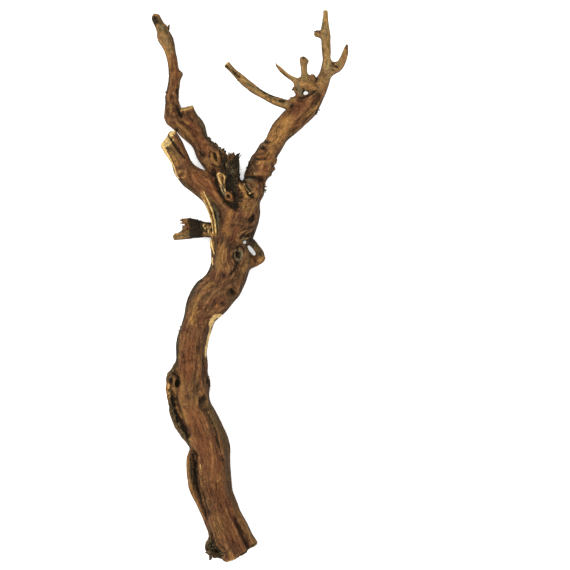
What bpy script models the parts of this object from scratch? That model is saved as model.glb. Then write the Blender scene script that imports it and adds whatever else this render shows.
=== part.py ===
# Grapevine wood: a sanded length of old vine trunk with its forks, spurs and canes, lying on the ground.
# One piece of wood, so one solid. Metres, +Z up, origin under the middle of the piece, at ground level.

import math

import bmesh
import bpy
import numpy as np
from mathutils import Matrix, Vector, noise

# Driving dimensions
LENGTH = 0.550  # of the whole piece, from the sawn foot to the tip of the tallest cane
DRAWING_LENGTH = 550.0  # the same length in the units of the tables below, so they read as millimetres
DRAWING_MIDDLE = (249.6, 286.6)  # the drawing's point that becomes the origin; x runs right, y runs down
UNIT = LENGTH / DRAWING_LENGTH

# Mesh sizes
VOXEL = 1.6 * UNIT
HEAL_VOXEL = 1.3 * UNIT  # a second, finer remesh, after the hollows are pressed in
SMOOTH_PASSES = 5
TRIANGLES = 10400
CURVE_STEPS = 4
CURVE_SIDES = 5  # bevel resolution: 2 * (sides + 1) edges round a limb

# Low swellings all over the wood
SWELL_SIZE = 17 * UNIT
SWELL_DEPTH = 0.9 * UNIT

# Each limb is a course of points: x, y on the drawing, height above the ground, radius.
LIMBS = {
    "trunk": [
        (240, 561, 20, 15), (232.8, 545, 19, 16.2), (226.2, 527, 18, 16.6), (218.8, 507, 18.3, 17),
        (213.5, 487, 20, 16.8), (211.6, 469, 21, 17), (209.8, 453, 21, 18), (205.6, 438, 20.5, 17.8),
        (199.6, 424, 19.5, 18), (194.6, 409, 18.5, 17.8), (191.8, 395, 18, 17), (193, 380, 18.3, 15),
        (192.3, 364, 19.5, 16.1), (192, 350, 21, 15.2), (193, 337, 23, 15.6), (196.4, 326, 25, 15),
        (200.6, 315, 26, 16.2), (207.9, 303.8, 27, 19.2), (216, 293.6, 28, 20.5), (222.6, 286.2, 28, 19.2),
        (226.8, 277, 27.5, 19.4), (230, 266, 27, 19.4), (230.7, 254, 26.5, 19.6), (229.6, 244, 26.5, 18.2),
        (232.8, 234, 27.5, 20.6), (237, 223, 28, 21.4), (238.8, 210, 28, 22.1), (240.6, 200, 27.5, 20),
    ],
    "right_arm": [
        (238, 212, 27, 18), (246, 197, 27, 15.5), (253, 186.6, 26, 12.6), (256, 177, 24.5, 11.6),
        (259.3, 169.8, 22.5, 13), (262.4, 163.2, 20.5, 13.3), (265.8, 157.4, 18.6, 12.2), (269.3, 150.2, 16.6, 11.2),
        (274.2, 142.6, 14.8, 10.5), (277.4, 136.2, 13.6, 10.5), (281, 130.7, 12, 11.8), (286, 125.8, 11.4, 12.5),
        (291.4, 120.5, 12, 12.8), (298.6, 113.8, 12.6, 12.7), (305.5, 107.6, 14, 12.5), (310.6, 101, 15.6, 11.8),
        (315, 94.6, 17.4, 10), (318.8, 88, 19, 9.2), (322.6, 81.2, 20.4, 7.7), (325.2, 74, 21.6, 5.8),
        (326.2, 65, 23, 4.9), (326.5, 54, 24, 4.8), (326.2, 44, 25, 4.8), (326, 34, 26, 5), (325.8, 26, 26.5, 4.3),
        (325.4, 18, 27, 3.5), (325.4, 8, 27.5, 3.2),
    ],
    "left_fork": [
        (238, 216, 28, 17), (228, 203, 29.5, 17), (217, 193.4, 31.5, 16), (207, 186.4, 33.5, 14.6),
        (197.4, 181, 35.5, 13), (190, 176, 37.3, 12), (185, 170.4, 39, 11.3), (182.2, 164.6, 40.4, 10.4),
        (179.8, 158.8, 41.6, 10.2), (177, 153.2, 42.8, 10.7), (173.6, 147.2, 44, 10.8), (170.6, 142, 45, 10.4),
        (167.2, 136.8, 46, 10.4),
    ],
    "upper_left_arm": [
        (238, 204, 24, 15), (228, 186, 22, 14), (219.5, 171, 20, 12.2), (210.6, 158, 17.5, 11.5),
        (203.8, 148, 15.5, 10.3), (198, 137.4, 13.5, 9.3), (193.3, 126, 10.6, 11.4), (187, 119, 12.3, 9),
    ],
    "upper_left_burl": [(206, 150, 16, 8), (214.8, 155.2, 17.6, 9.4), (219.6, 160, 19, 9.4), (221, 170, 20, 9)],
    "upper_left_cane": [
        (205, 152, 16.5, 8), (196, 139, 14, 8.2), (186.2, 129.2, 12.5, 8.5), (177.4, 121.4, 12, 9),
        (172.8, 113.5, 12, 8.6), (172.1, 104, 12, 8), (172.3, 95, 11.8, 7.6), (173.4, 86, 11.5, 6.2),
        (174, 77, 11, 5.8), (173.1, 68, 10.5, 5.7), (171.8, 59, 10.2, 5.6), (169.6, 50.5, 10, 5.7),
        (167.2, 43, 10, 7.2), (163.7, 35.5, 10, 8.2), (160.8, 28.5, 10, 5.9), (157.6, 21.5, 10, 5.2),
        (155.4, 16.6, 10, 5.2),
    ],
    "upper_left_stub": [
        (200, 137, 13, 8.4), (194.2, 124, 13.3, 8), (189.7, 114.5, 14, 7.3), (186.7, 107, 14.5, 7.2),
        (185.4, 103, 15, 7.2),
    ],
    "dark_stub": [
        (235, 208, 31, 11), (232.5, 194, 32.5, 10.6), (231.4, 181, 33, 9.4), (231.6, 171, 32.5, 8.6),
        (233, 163.5, 32, 7.6),
    ],
    "dark_stub_tooth_left": [(230, 168, 33, 4), (229.6, 160.6, 33.5, 3.2), (231.6, 156.6, 34, 2.4)],
    "dark_stub_tooth_right": [(235, 168, 33, 4.2), (237.4, 163, 33, 3.4), (238.2, 158.6, 33.3, 2.2)],
    "long_cane": [
        (300, 106.6, 17, 5.5), (291, 105.2, 20.5, 4.8), (283, 104, 23, 5), (275, 101, 25, 4.7),
        (264.6, 96.2, 27.5, 4.4), (254.4, 89.8, 30, 4.7), (245.4, 82.8, 32, 4.6), (235.4, 73.8, 34, 4.2),
        (227.6, 66.4, 35.5, 4.2), (222, 61.2, 36.4, 4.2),
    ],
    "spur_block": [
        (321, 90, 20, 7.5), (313, 86, 23, 6.4), (306, 85.6, 25.5, 5.9), (300, 87.5, 27, 5.2),
        (300, 93, 25.5, 4.2), (301, 98.5, 22, 4.4), (303, 104, 18, 6),
    ],
    "spur_stub_cane": [(305.6, 87, 26, 5), (304.7, 79, 28, 4.5), (304, 70, 30, 4.1), (303, 61, 32, 4.6)],
    "spur_stub_nub": [(304, 63, 31.5, 3), (308.2, 62.2, 31.5, 2.4)],
    "thin_shoot": [
        (302, 86, 26.5, 4.4), (295.5, 80.8, 28.5, 3.6), (288, 76.4, 30, 3), (282, 71.7, 31.5, 2.6),
        (278.6, 67.8, 33, 2), (275.6, 65.3, 34.5, 1.6),
    ],
    "spur_bud": [(311.6, 83, 25, 4.6), (312.6, 78, 27, 3.5), (313.6, 75.2, 28, 2.3)],
    "cane_base_bud": [(297, 103, 24, 3.2), (292, 99, 26.5, 3)],
    "spur_scale_upper": [(298.5, 88, 28, 3), (294.8, 87.4, 29, 2.2)],
    "spur_scale_lower": [(298.5, 91.5, 27, 3), (294.8, 91, 27, 2.2)],
    "top_side_stub": [(326, 37, 26, 4.4), (320.5, 35.5, 28, 4), (316.4, 35, 29.5, 4.2)],
    "hook": [
        (323.5, 77, 21, 5.6), (330.4, 70, 22, 6), (336.5, 68.3, 24, 5.2), (341.6, 63.4, 26.5, 4.7),
        (344.4, 56.4, 29, 4.4), (345.8, 50, 31.5, 3.4), (346.4, 46.2, 33, 2.4),
    ],
    "hook_bud": [(331, 67, 24, 3.8), (333, 63.4, 26, 2.8)],
    "arm_scale": [(311, 107, 15, 6), (315.6, 111.4, 14.6, 3.6)],
    "low_stub": [
        (224, 232, 21, 10), (213, 230.6, 18, 8), (206, 229.6, 16, 7.8), (198, 229.2, 14.5, 9),
        (191.4, 228.6, 13.5, 8.2), (187.6, 229, 13, 5.4),
    ],
    "low_stub_tooth_top": [(194, 223.6, 15, 5), (187, 221, 16, 3.9), (182.2, 219.4, 17, 2.4)],
    "low_stub_tooth_middle": [(193, 227, 17, 3.6), (187.5, 227, 18, 3), (183.4, 227.4, 18.5, 2.2)],
    "low_stub_tooth_long": [
        (195, 231.5, 12.5, 6), (187, 233.6, 11.5, 5.4), (180, 235.8, 10.5, 4.7), (175.4, 236.8, 10, 4.3),
    ],
    "loop_cane": [
        (241.4, 229.4, 17, 6), (248.4, 238.4, 15, 4.7), (254, 246.3, 14.5, 4.2), (258.7, 253.2, 15, 4.2),
        (261.5, 257.8, 16, 4.3),
    ],
    "loop_nub": [(238, 262, 24, 10), (248, 262.4, 20, 7.6), (255.8, 261, 17.5, 5.3), (261.8, 258.2, 16, 4.6)],
    "nub_shoulder": [(239, 261, 23, 10), (241, 270, 22.5, 9.2), (239, 279.6, 23.5, 8.4)],
    "torn_edge_upper": [
        (196, 187.6, 36, 5), (204, 196.2, 37, 3), (208.6, 205, 37, 3.1), (211.7, 215, 36, 3.1),
        (214.2, 226, 34.5, 3), (214.3, 236, 32.5, 3.2), (213.4, 246, 28, 3.2), (215.4, 255, 26, 2.8),
        (216.8, 266, 25, 2.8),
    ],
    "crown_shoulder": [(222, 240, 26, 11), (221, 225, 26, 9), (219, 211, 26.5, 9), (216, 199, 27, 9)],
    "crown_burl": [(246, 206, 24, 12), (251.8, 198, 23.5, 9.4), (257.2, 190, 23.5, 8.7), (256, 183, 23.5, 8)],
    "oval_knot_stub": [(225, 193, 36, 4.8), (222.4, 184, 40, 5), (221.2, 177, 42.5, 4.8)],
    "red_knot_stub": [(230.5, 200, 38, 4.8), (229.4, 197.6, 44, 4.3)],
    "left_ridge_lower": [
        (200, 441, 20, 5), (193, 450, 19, 3.8), (189.8, 460, 18.5, 4.2), (190.5, 470, 18, 4.2),
        (191.4, 482, 18, 4), (196, 494, 18, 4), (202, 506, 18, 4.4), (207.6, 518, 18, 5), (213, 530, 18, 6),
    ],
    "left_ridge_lower_back": [(205, 448, 15, 10), (201, 462, 12.5, 9.6), (200, 478, 12, 9.6), (206, 496, 12, 10)],
    "left_ridge_upper": [
        (182, 360, 18, 5), (175.6, 368, 18.5, 4.4), (170.6, 375.6, 19, 4.3), (169.4, 386, 19, 4.3),
        (170.2, 397, 18, 4.3), (172.8, 408, 17.5, 4.4), (176, 419, 17, 4.7), (181, 430, 17, 4.8),
        (187.6, 438.5, 17.5, 4.7), (196, 446, 18, 5),
    ],
    "left_ridge_upper_back": [(182, 372, 11.5, 8), (179, 386, 10.5, 8.6), (180, 402, 10.5, 9), (186, 420, 11, 9.5), (194, 434, 12, 9)],
    "pocket_lump": [(176.5, 374.5, 19, 2.6), (174.6, 382, 19, 2.6), (175.6, 390, 18.5, 2.9)],
    "right_ridge_lower": [
        (202, 402, 18, 8), (208.6, 416, 18, 8.4), (216, 430, 18, 8.8), (220.6, 444, 18, 9), (222.4, 460, 17.5, 8.8),
        (222.3, 474, 17.5, 8.8), (223.6, 488, 17.3, 8.4), (228.4, 502, 17, 8), (234.3, 515, 16.5, 7.6),
        (240.6, 528, 16.5, 7.8), (247.4, 540, 16.5, 8), (254, 552, 16.5, 8),
    ],
    "side_loop": [(203, 372, 17, 4), (207.4, 377.4, 16, 2.2), (208.4, 383, 16, 2), (207.2, 390, 16, 2.4), (202, 397, 16, 5)],
    "foot_burl": [(217, 533, 17, 7), (212.8, 541, 16.5, 6), (211.4, 548, 15.5, 7), (214.6, 552.4, 15, 6.4), (219.4, 552.6, 16, 6)],
    "pale_ledge": [
        (222, 304, 20, 7), (217.4, 310.2, 18.5, 6), (210.6, 318.6, 18.5, 5.4),
        (207.3, 329, 18.5, 5.1), (204.6, 338.4, 18, 5), (202.6, 350, 18, 5),
    ],
    "dark_edge_upper": [
        (222, 275, 19, 5.6), (213.4, 281, 18.5, 6), (204, 285.2, 18.5, 6.6), (197.3, 292.4, 18.5, 6.9),
        (192.6, 301.6, 19, 6.4), (189.2, 313, 18.5, 5.6), (186, 325, 18, 5.4),
    ],
    "dark_edge_lower": [(185, 328, 18, 5.2), (181, 338, 17.5, 5.1), (180.2, 350, 17, 4.8), (180.8, 361, 16.5, 5.4)],
    "bud_on_arm": [(177, 75.5, 11.5, 4), (180.6, 73.6, 12.5, 3.2)],
    "thorn": [(162.6, 29.6, 12, 3), (166, 26, 13.5, 2.4), (166.8, 24, 14, 1.9)],
    "arm_corner": [(170.6, 120, 12, 6), (165.8, 117, 12.5, 2.6)],
    "under_rib": [
        (231, 528, 8.2, 9), (222, 508, 9, 9), (213, 475, 9.6, 9), (203, 430, 9.2, 9), (192, 396, 8.2, 9),
        (192, 378, 9, 9), (196, 340, 14, 9),
    ],
}

# Limbs that end in a saw cut, and so run a little past it.
SAWN_LIMBS = {"trunk", "left_fork", "upper_left_stub", "long_cane", "right_arm", "right_ridge_lower"}

# Knots on the upper side: x, y, rise of the rim, depth of the hollow (less than nothing where it swells
# out instead), half length, half width, and the turn of the long way from straight up the drawing, in degrees clockwise.
KNOTS = {
    "eye_knot": (239, 255, 1.8, 3.2, 7, 5.2, 10),
    "curl_knot": (245, 237, 1.4, 1.6, 5, 7, -20),
    "edge_hollow": (252.4, 220, 0.5, 3.4, 5.5, 3.8, 30),
    "bend_hollow": (233, 292, 0.8, 3.4, 4.5, 6, 20),
    "bend_dimple": (223, 303, 0.3, 1.6, 3, 3.8, 20),
    "ridge_root_hollow": (203, 400, 0.8, 4, 7.5, 4.2, 15),
    "arm_base_hollow": (249.5, 192, 1.2, 4.2, 8, 3.8, -35),
    "arm_fold_hollow": (262.5, 148, 0.5, 3, 4.6, 3.6, 30),
    "arm_slit_knot": (215.5, 157.5, 1.4, 2.8, 5.5, 3.4, -35),
    "back_arm_hollow": (202.5, 156, 0.4, 2.6, 5, 3.6, -30),
    "fork_knot": (183, 174.5, 0.6, -1.4, 5.4, 4.6, 30),
    "oval_knot_mouth": (221, 178.5, 0, 3.4, 5, 2.8, -10),
    "red_knot_mouth": (229.3, 198, 0, 1.6, 3.2, 3.2, 0),
    "pocket_hole": (177.4, 383, 0, 4.2, 4.6, 3.2, 0),
}

# Creases in the upper side: half width, depth, then the course they follow.
CREASES = {
    "ridge_groove_upper": (2.2, 3.0, [(207, 411), (212, 424), (216, 437), (219.5, 449), (222, 460)]),
    "ridge_groove_lower": (2.2, 3.4, [(227, 500), (232, 513), (239, 526), (245, 537), (251, 549)]),
    "left_cleft": (3.2, 6.0, [(192.4, 454), (194.8, 463), (195.4, 476), (197, 488), (201, 500), (206, 513)]),
    "left_cleft_upper": (3.2, 4.6, [(173.4, 399), (176.8, 411), (181.4, 424), (186.6, 435)]),
    "crown_flute": (4.2, 2.4, [(209, 191), (214.6, 203), (218.4, 216), (220, 230), (219, 243)]),
    "fork_crevice": (3.0, 4.6, [(212, 170), (217, 183), (221.6, 196), (230, 205.6), (236.6, 209)]),
    "crown_valley": (6.5, 3.6, [(227, 172), (230.5, 186), (234, 198), (236, 206)]),
    "eye_crack": (1.8, 2.0, [(238, 262), (235.5, 269), (230, 274), (224, 276.5)]),
    "arm_fold": (2.4, 2.6, [(255, 159), (261, 158.2), (268, 158.6)]),
    "arm_collar": (3.0, 3.2, [(244, 180), (251, 179.5), (259, 180), (264, 181)]),
    "arm_step": (3.0, 1.8, [(263, 141), (268, 143), (273, 142), (279, 145)]),
    "back_arm_groove": (2.2, 1.8, [(183, 122), (190, 130), (196, 136), (202, 146)]),
    "back_stub_groove": (2.4, 1.6, [(188, 110), (190.5, 117), (194, 125)]),
    "edge_groove": (2.0, 2.0, [(207, 281), (200, 289), (195, 300), (191, 312)]),
    "arm_rim": (2.2, 1.8, [(318, 96), (313, 106), (305, 115), (298, 124), (289, 133)]),
    "middle_rim": (2.0, 1.6, [(206, 350), (206, 360), (206, 376)]),
}

# Sawn faces: a point on the face, the way it faces, and the block sawn away there (wide, deep, high).
SAW_CUTS = {
    "foot": ((241.8, 552.8, 20), (0.48, 0.88, -0.12), (70, 50, 70)),
    "left_fork_end_outer": ((164, 143.4, 45), (-0.69, -0.7, 0.2), (16.4, 20, 34)),
    "left_fork_end_inner": ((175.6, 130.2, 45), (-0.48, -0.87, 0.14), (15, 20, 34)),
    "upper_left_stub_end": ((187.9, 106.4, 14), (-0.28, -0.96, 0.06), (13.4, 8, 24)),
    "long_cane_end": ((226.4, 64.9, 36), (-0.74, -0.66, 0.12), (16, 14, 20)),
    "top_end": ((325.4, 10.8, 28), (0, -1, 0.05), (14, 12, 14)),
}

# The split in the upper side of the sawn left fork: a wedge, from its mouth to its root.
SPLIT_MOUTH = (168, 134.5, 55.6)
SPLIT_ROOT = (188, 163.5, 54)
SPLIT_GAP = 2.4
SPLIT_HEIGHT = 18

WOOD_COLOUR = (0.19, 0.085, 0.042, 1)


def place(x, y, z):
    """A point of the drawing, in the part's frame."""
    return Vector((x - DRAWING_MIDDLE[0], DRAWING_MIDDLE[1] - y, z)) * UNIT


def direction(x, y, z):
    """A direction of the drawing, in the part's frame."""
    return Vector((x, -y, z)).normalized()


def grow_limb(name, course):
    """A tube through the course, thick as its radii say, with both ends closed."""
    curve = bpy.data.curves.new(name, "CURVE")
    curve.dimensions = "3D"
    curve.bevel_depth = UNIT
    curve.bevel_resolution = CURVE_SIDES
    curve.resolution_u = CURVE_STEPS
    curve.use_fill_caps = True
    spline = curve.splines.new("BEZIER")
    spline.bezier_points.add(len(course) - 1)
    spline.radius_interpolation = "CARDINAL"
    for point, (x, y, z, radius) in zip(spline.bezier_points, course):
        point.co = place(x, y, z)
        point.radius = radius
        point.handle_left_type = point.handle_right_type = "AUTO"
    limb = bpy.data.objects.new(name, curve)
    bpy.context.scene.collection.objects.link(limb)
    return limb


def gather(limbs):
    """One mesh of all the tubes, with a ball at each free end, and the curves removed."""
    bpy.context.view_layer.update()
    graph = bpy.context.evaluated_depsgraph_get()
    gathered = bmesh.new()
    for limb in limbs:
        tube = bpy.data.meshes.new_from_object(limb.evaluated_get(graph))
        gathered.from_mesh(tube)
        bpy.data.meshes.remove(tube)
    for limb in limbs:
        curve = limb.data
        bpy.data.objects.remove(limb)
        bpy.data.curves.remove(curve)
    for name, course in LIMBS.items():
        if name in SAWN_LIMBS:
            continue
        x, y, z, radius = course[-1]
        bmesh.ops.create_icosphere(
            gathered, subdivisions=2, radius=radius * UNIT, matrix=Matrix.Translation(place(x, y, z))
        )
    bmesh.ops.remove_doubles(gathered, verts=gathered.verts, dist=UNIT * 0.001)
    mesh = bpy.data.meshes.new("grown_limbs")
    gathered.to_mesh(mesh)
    gathered.free()
    return mesh


def evaluated_mesh(mesh, *modifiers):
    """The mesh after these modifiers, each a type and its settings."""
    holder = bpy.data.objects.new("holder", mesh)
    bpy.context.scene.collection.objects.link(holder)
    for kind, settings in modifiers:
        modifier = holder.modifiers.new(kind.title(), kind)
        for setting, value in settings.items():
            setattr(modifier, setting, value)
    bpy.context.view_layer.update()
    made = bpy.data.meshes.new_from_object(holder.evaluated_get(bpy.context.evaluated_depsgraph_get()))
    bpy.data.objects.remove(holder)
    return made


def distance_to_course(points, course):
    """How far each x, y point is from the line through the course."""
    nearest = np.full(len(points), np.inf)
    for (x0, y0), (x1, y1) in zip(course, course[1:]):
        start = np.array(place(x0, y0, 0))[:2]
        run = np.array(place(x1, y1, 0))[:2] - start
        share = np.clip((points - start) @ run / (run @ run), 0, 1)
        nearest = np.minimum(nearest, np.linalg.norm(points - start - share[:, None] * run, axis=1))
    return nearest


def carve(mesh):
    """Moves the skin out or in along its normals: swellings all over, and on top the creases and knots."""
    count = len(mesh.vertices)
    points = np.empty(count * 3)
    normals = np.empty(count * 3)
    mesh.vertices.foreach_get("co", points)
    mesh.vertices.foreach_get("normal", normals)
    points = points.reshape(-1, 3)
    normals = normals.reshape(-1, 3)
    facing_up = np.clip(normals[:, 2] * 2 + 0.2, 0, 1)
    move = np.array([noise.noise(Vector(p) / SWELL_SIZE) for p in points]) * SWELL_DEPTH

    for half_width, depth, course in CREASES.values():
        away = distance_to_course(points[:, :2], course) / (half_width * UNIT)
        move -= np.exp(-(away**2)) * depth * UNIT * facing_up

    for x, y, rise, depth, half_length, half_width, turn in KNOTS.values():
        offset = (points - np.array(place(x, y, 0)))[:, :2] / UNIT
        sine, cosine = math.sin(math.radians(turn)), math.cos(math.radians(turn))
        along = (offset[:, 0] * sine + offset[:, 1] * cosine) / half_length
        across = (offset[:, 0] * cosine - offset[:, 1] * sine) / half_width
        away = np.hypot(along, across)
        rim = np.exp(-(((away - 1) / 0.35) ** 2)) * rise
        hollow = np.exp(-((away / 0.66) ** 3)) * depth
        move += (rim - hollow) * UNIT * facing_up

    points += normals * move[:, None]
    mesh.vertices.foreach_set("co", points.ravel())
    mesh.update()
    return mesh


def block(name, corner, size, turn):
    """A box to cut with, kept out of the render."""
    mesh = bpy.data.meshes.new(name)
    shape = bmesh.new()
    bmesh.ops.create_cube(shape, size=1)
    bmesh.ops.scale(shape, vec=size, verts=shape.verts)
    shape.to_mesh(mesh)
    shape.free()
    cutter = bpy.data.objects.new(name, mesh)
    cutter.matrix_world = Matrix.Translation(corner) @ turn
    cutter.hide_render = True
    cutter.display_type = "WIRE"
    return cutter


def saw_blocks():
    """One block for each sawn end, a slab under the ground, and the wedge of the split."""
    blocks = []
    for name, (point, facing, size) in SAW_CUTS.items():
        away = direction(*facing)
        wide, deep, high = (side * UNIT for side in size)
        turn = away.to_track_quat("Y", "Z").to_matrix().to_4x4()
        blocks.append(block(name, place(*point) + away * deep / 2, (wide, deep, high), turn))

    slab = 100 * UNIT
    blocks.append(block("ground", Vector((0, 0, -slab / 2)), (LENGTH * 2, LENGTH * 2, slab), Matrix.Identity(4)))

    mouth, root = place(*SPLIT_MOUTH), place(*SPLIT_ROOT)
    along = mouth - root
    middle = (mouth + root) / 2
    turn = along.to_track_quat("X", "Z").to_matrix().to_4x4()
    split = block("split", middle, (along.length, SPLIT_GAP * UNIT, SPLIT_HEIGHT * UNIT), turn)
    for vertex in split.data.vertices:
        if vertex.co.x < 0:
            vertex.co.y *= 0.15
    blocks.append(split)
    return blocks


def wood_material():
    material = bpy.data.materials.new("sanded_vine_wood")
    material.use_nodes = True
    shader = material.node_tree.nodes["Principled BSDF"]
    shader.inputs["Base Color"].default_value = WOOD_COLOUR
    shader.inputs["Roughness"].default_value = 0.6
    shader.inputs["Metallic"].default_value = 0
    material.diffuse_color = WOOD_COLOUR
    return material


def clear_scene():
    for old in list(bpy.data.objects):
        bpy.data.objects.remove(old)


def new_collection(name):
    made = bpy.data.collections.new(name)
    bpy.context.scene.collection.children.link(made)
    return made


def main():
    clear_scene()
    limbs = [grow_limb(name, course) for name, course in LIMBS.items()]
    grown = gather(limbs)
    skin = evaluated_mesh(
        grown,
        ("REMESH", {"mode": "VOXEL", "voxel_size": VOXEL}),
        ("SMOOTH", {"factor": 0.5, "iterations": SMOOTH_PASSES}),
    )
    skin = evaluated_mesh(carve(skin), ("REMESH", {"mode": "VOXEL", "voxel_size": HEAL_VOXEL}))
    skin.name = "grapevine_wood"

    wood = bpy.data.objects.new("grapevine_wood", skin)
    new_collection("grapevine").objects.link(wood)
    cutters = new_collection("cutters")
    for cutter in saw_blocks():
        cutters.objects.link(cutter)

    thin_out = wood.modifiers.new("Thin out", "DECIMATE")
    thin_out.ratio = TRIANGLES / (2 * len(skin.polygons))
    saw = wood.modifiers.new("Saw", "BOOLEAN")
    saw.operation = "DIFFERENCE"
    saw.operand_type = "COLLECTION"
    saw.collection = cutters
    saw.solver = "MANIFOLD"
    wood.data.materials.append(wood_material())


main()
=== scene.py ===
# Grapevine wood: a long sanded trunk of old vine with its forks, spurs and canes, lying on a pale table.
import math
import random

import bmesh
import bpy
import numpy as np
from mathutils import Matrix, Quaternion, Vector, kdtree, noise


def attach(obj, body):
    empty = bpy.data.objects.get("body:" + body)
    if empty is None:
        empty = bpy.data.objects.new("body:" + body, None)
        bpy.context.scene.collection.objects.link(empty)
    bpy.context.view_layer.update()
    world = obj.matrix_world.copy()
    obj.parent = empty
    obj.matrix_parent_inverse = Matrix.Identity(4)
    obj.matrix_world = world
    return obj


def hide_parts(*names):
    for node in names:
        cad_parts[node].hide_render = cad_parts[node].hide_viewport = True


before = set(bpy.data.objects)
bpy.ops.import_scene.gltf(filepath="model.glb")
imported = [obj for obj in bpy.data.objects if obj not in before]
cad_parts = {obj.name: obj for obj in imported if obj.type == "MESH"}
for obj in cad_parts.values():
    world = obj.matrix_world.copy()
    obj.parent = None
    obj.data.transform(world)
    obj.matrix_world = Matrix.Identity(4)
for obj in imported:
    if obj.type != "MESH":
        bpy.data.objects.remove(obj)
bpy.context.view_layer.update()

print("grapevine wood: frame loaded")

mm = 0.001
# The drawing's point over the origin: x runs right, y down, in millimetres.
drawing = {"middle": (249.6, 286.6)}


def place(x, y, z=0.0):
    return Vector((x - drawing["middle"][0], drawing["middle"][1] - y, z))


def flatPlace(points):
    return np.array([place(x, y)[:2] for x, y in points])


def addObject(name, data):
    made = bpy.data.objects.new(name, data)
    bpy.context.scene.collection.objects.link(made)
    return made


studio = {
    "cameraAt": (0.0354, 0.0016, 3.020),
    "lens": 189.47,
    "sensor": 36.0,
    "farthestSeen": 40,
    "floorSide": 12.0,
    "paper": {"shade": 0.93, "roughness": 0.9, "shine": 0.1, "glow": 0.32},
    "skyStrength": 0.78,
    "skyTint": (1.0, 0.985, 0.96, 1),
    "lights": {  # place, size, power, colour
        "overheadLight": ((-0.12, 0.12, 2.3), 2.8, 66.0, (1.0, 0.99, 0.975)),
        "keyLight": ((-1.15, 0.95, 1.5), 1.0, 17.0, (1.0, 0.98, 0.95)),
    },
}


def setUpCamera():
    camera = bpy.data.cameras.new("camera")
    camera.lens = studio["lens"]
    camera.sensor_width = studio["sensor"]
    camera.clip_end = studio["farthestSeen"]
    cameraObject = addObject("camera", camera)
    cameraObject.location = studio["cameraAt"]
    bpy.context.scene.camera = cameraObject
    bpy.context.scene.view_settings.view_transform = "Standard"


def setUpLights():
    for name, (at, size, power, tint) in studio["lights"].items():
        light = bpy.data.lights.new(name, "AREA")
        light.shape = "DISK"
        light.size = size
        light.energy = power
        light.color = tint
        holder = addObject(name, light)
        holder.location = at
        holder.rotation_euler = (-Vector(at)).to_track_quat("-Z", "Y").to_euler()
    world = bpy.data.worlds.new("softSky")
    world.use_nodes = True
    sky = world.node_tree.nodes["Background"].inputs
    sky["Color"].default_value = studio["skyTint"]
    sky["Strength"].default_value = studio["skyStrength"]
    bpy.context.scene.world = world


def layPaper():
    shape = bmesh.new()
    bmesh.ops.create_grid(shape, x_segments=1, y_segments=1, size=studio["floorSide"] / 2)
    floorMesh = bpy.data.meshes.new("studioFloor")
    shape.to_mesh(floorMesh)
    shape.free()
    floor = addObject("studioFloor", floorMesh)
    material = bpy.data.materials.new("studioPaper")
    material.use_nodes = True
    tree = material.node_tree
    shader = tree.nodes["Principled BSDF"].inputs
    paper = studio["paper"]
    shader["Base Color"].default_value = (*(paper["shade"],) * 3, 1)
    shader["Roughness"].default_value = paper["roughness"]
    shader["Specular IOR Level"].default_value = paper["shine"]
    # the paper glows a little for the camera alone, as over a light table
    tree.links.new(tree.nodes.new("ShaderNodeLightPath").outputs["Is Camera Ray"], shader["Emission Color"])
    shader["Emission Strength"].default_value = paper["glow"]
    floorMesh.materials.append(material)


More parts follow.
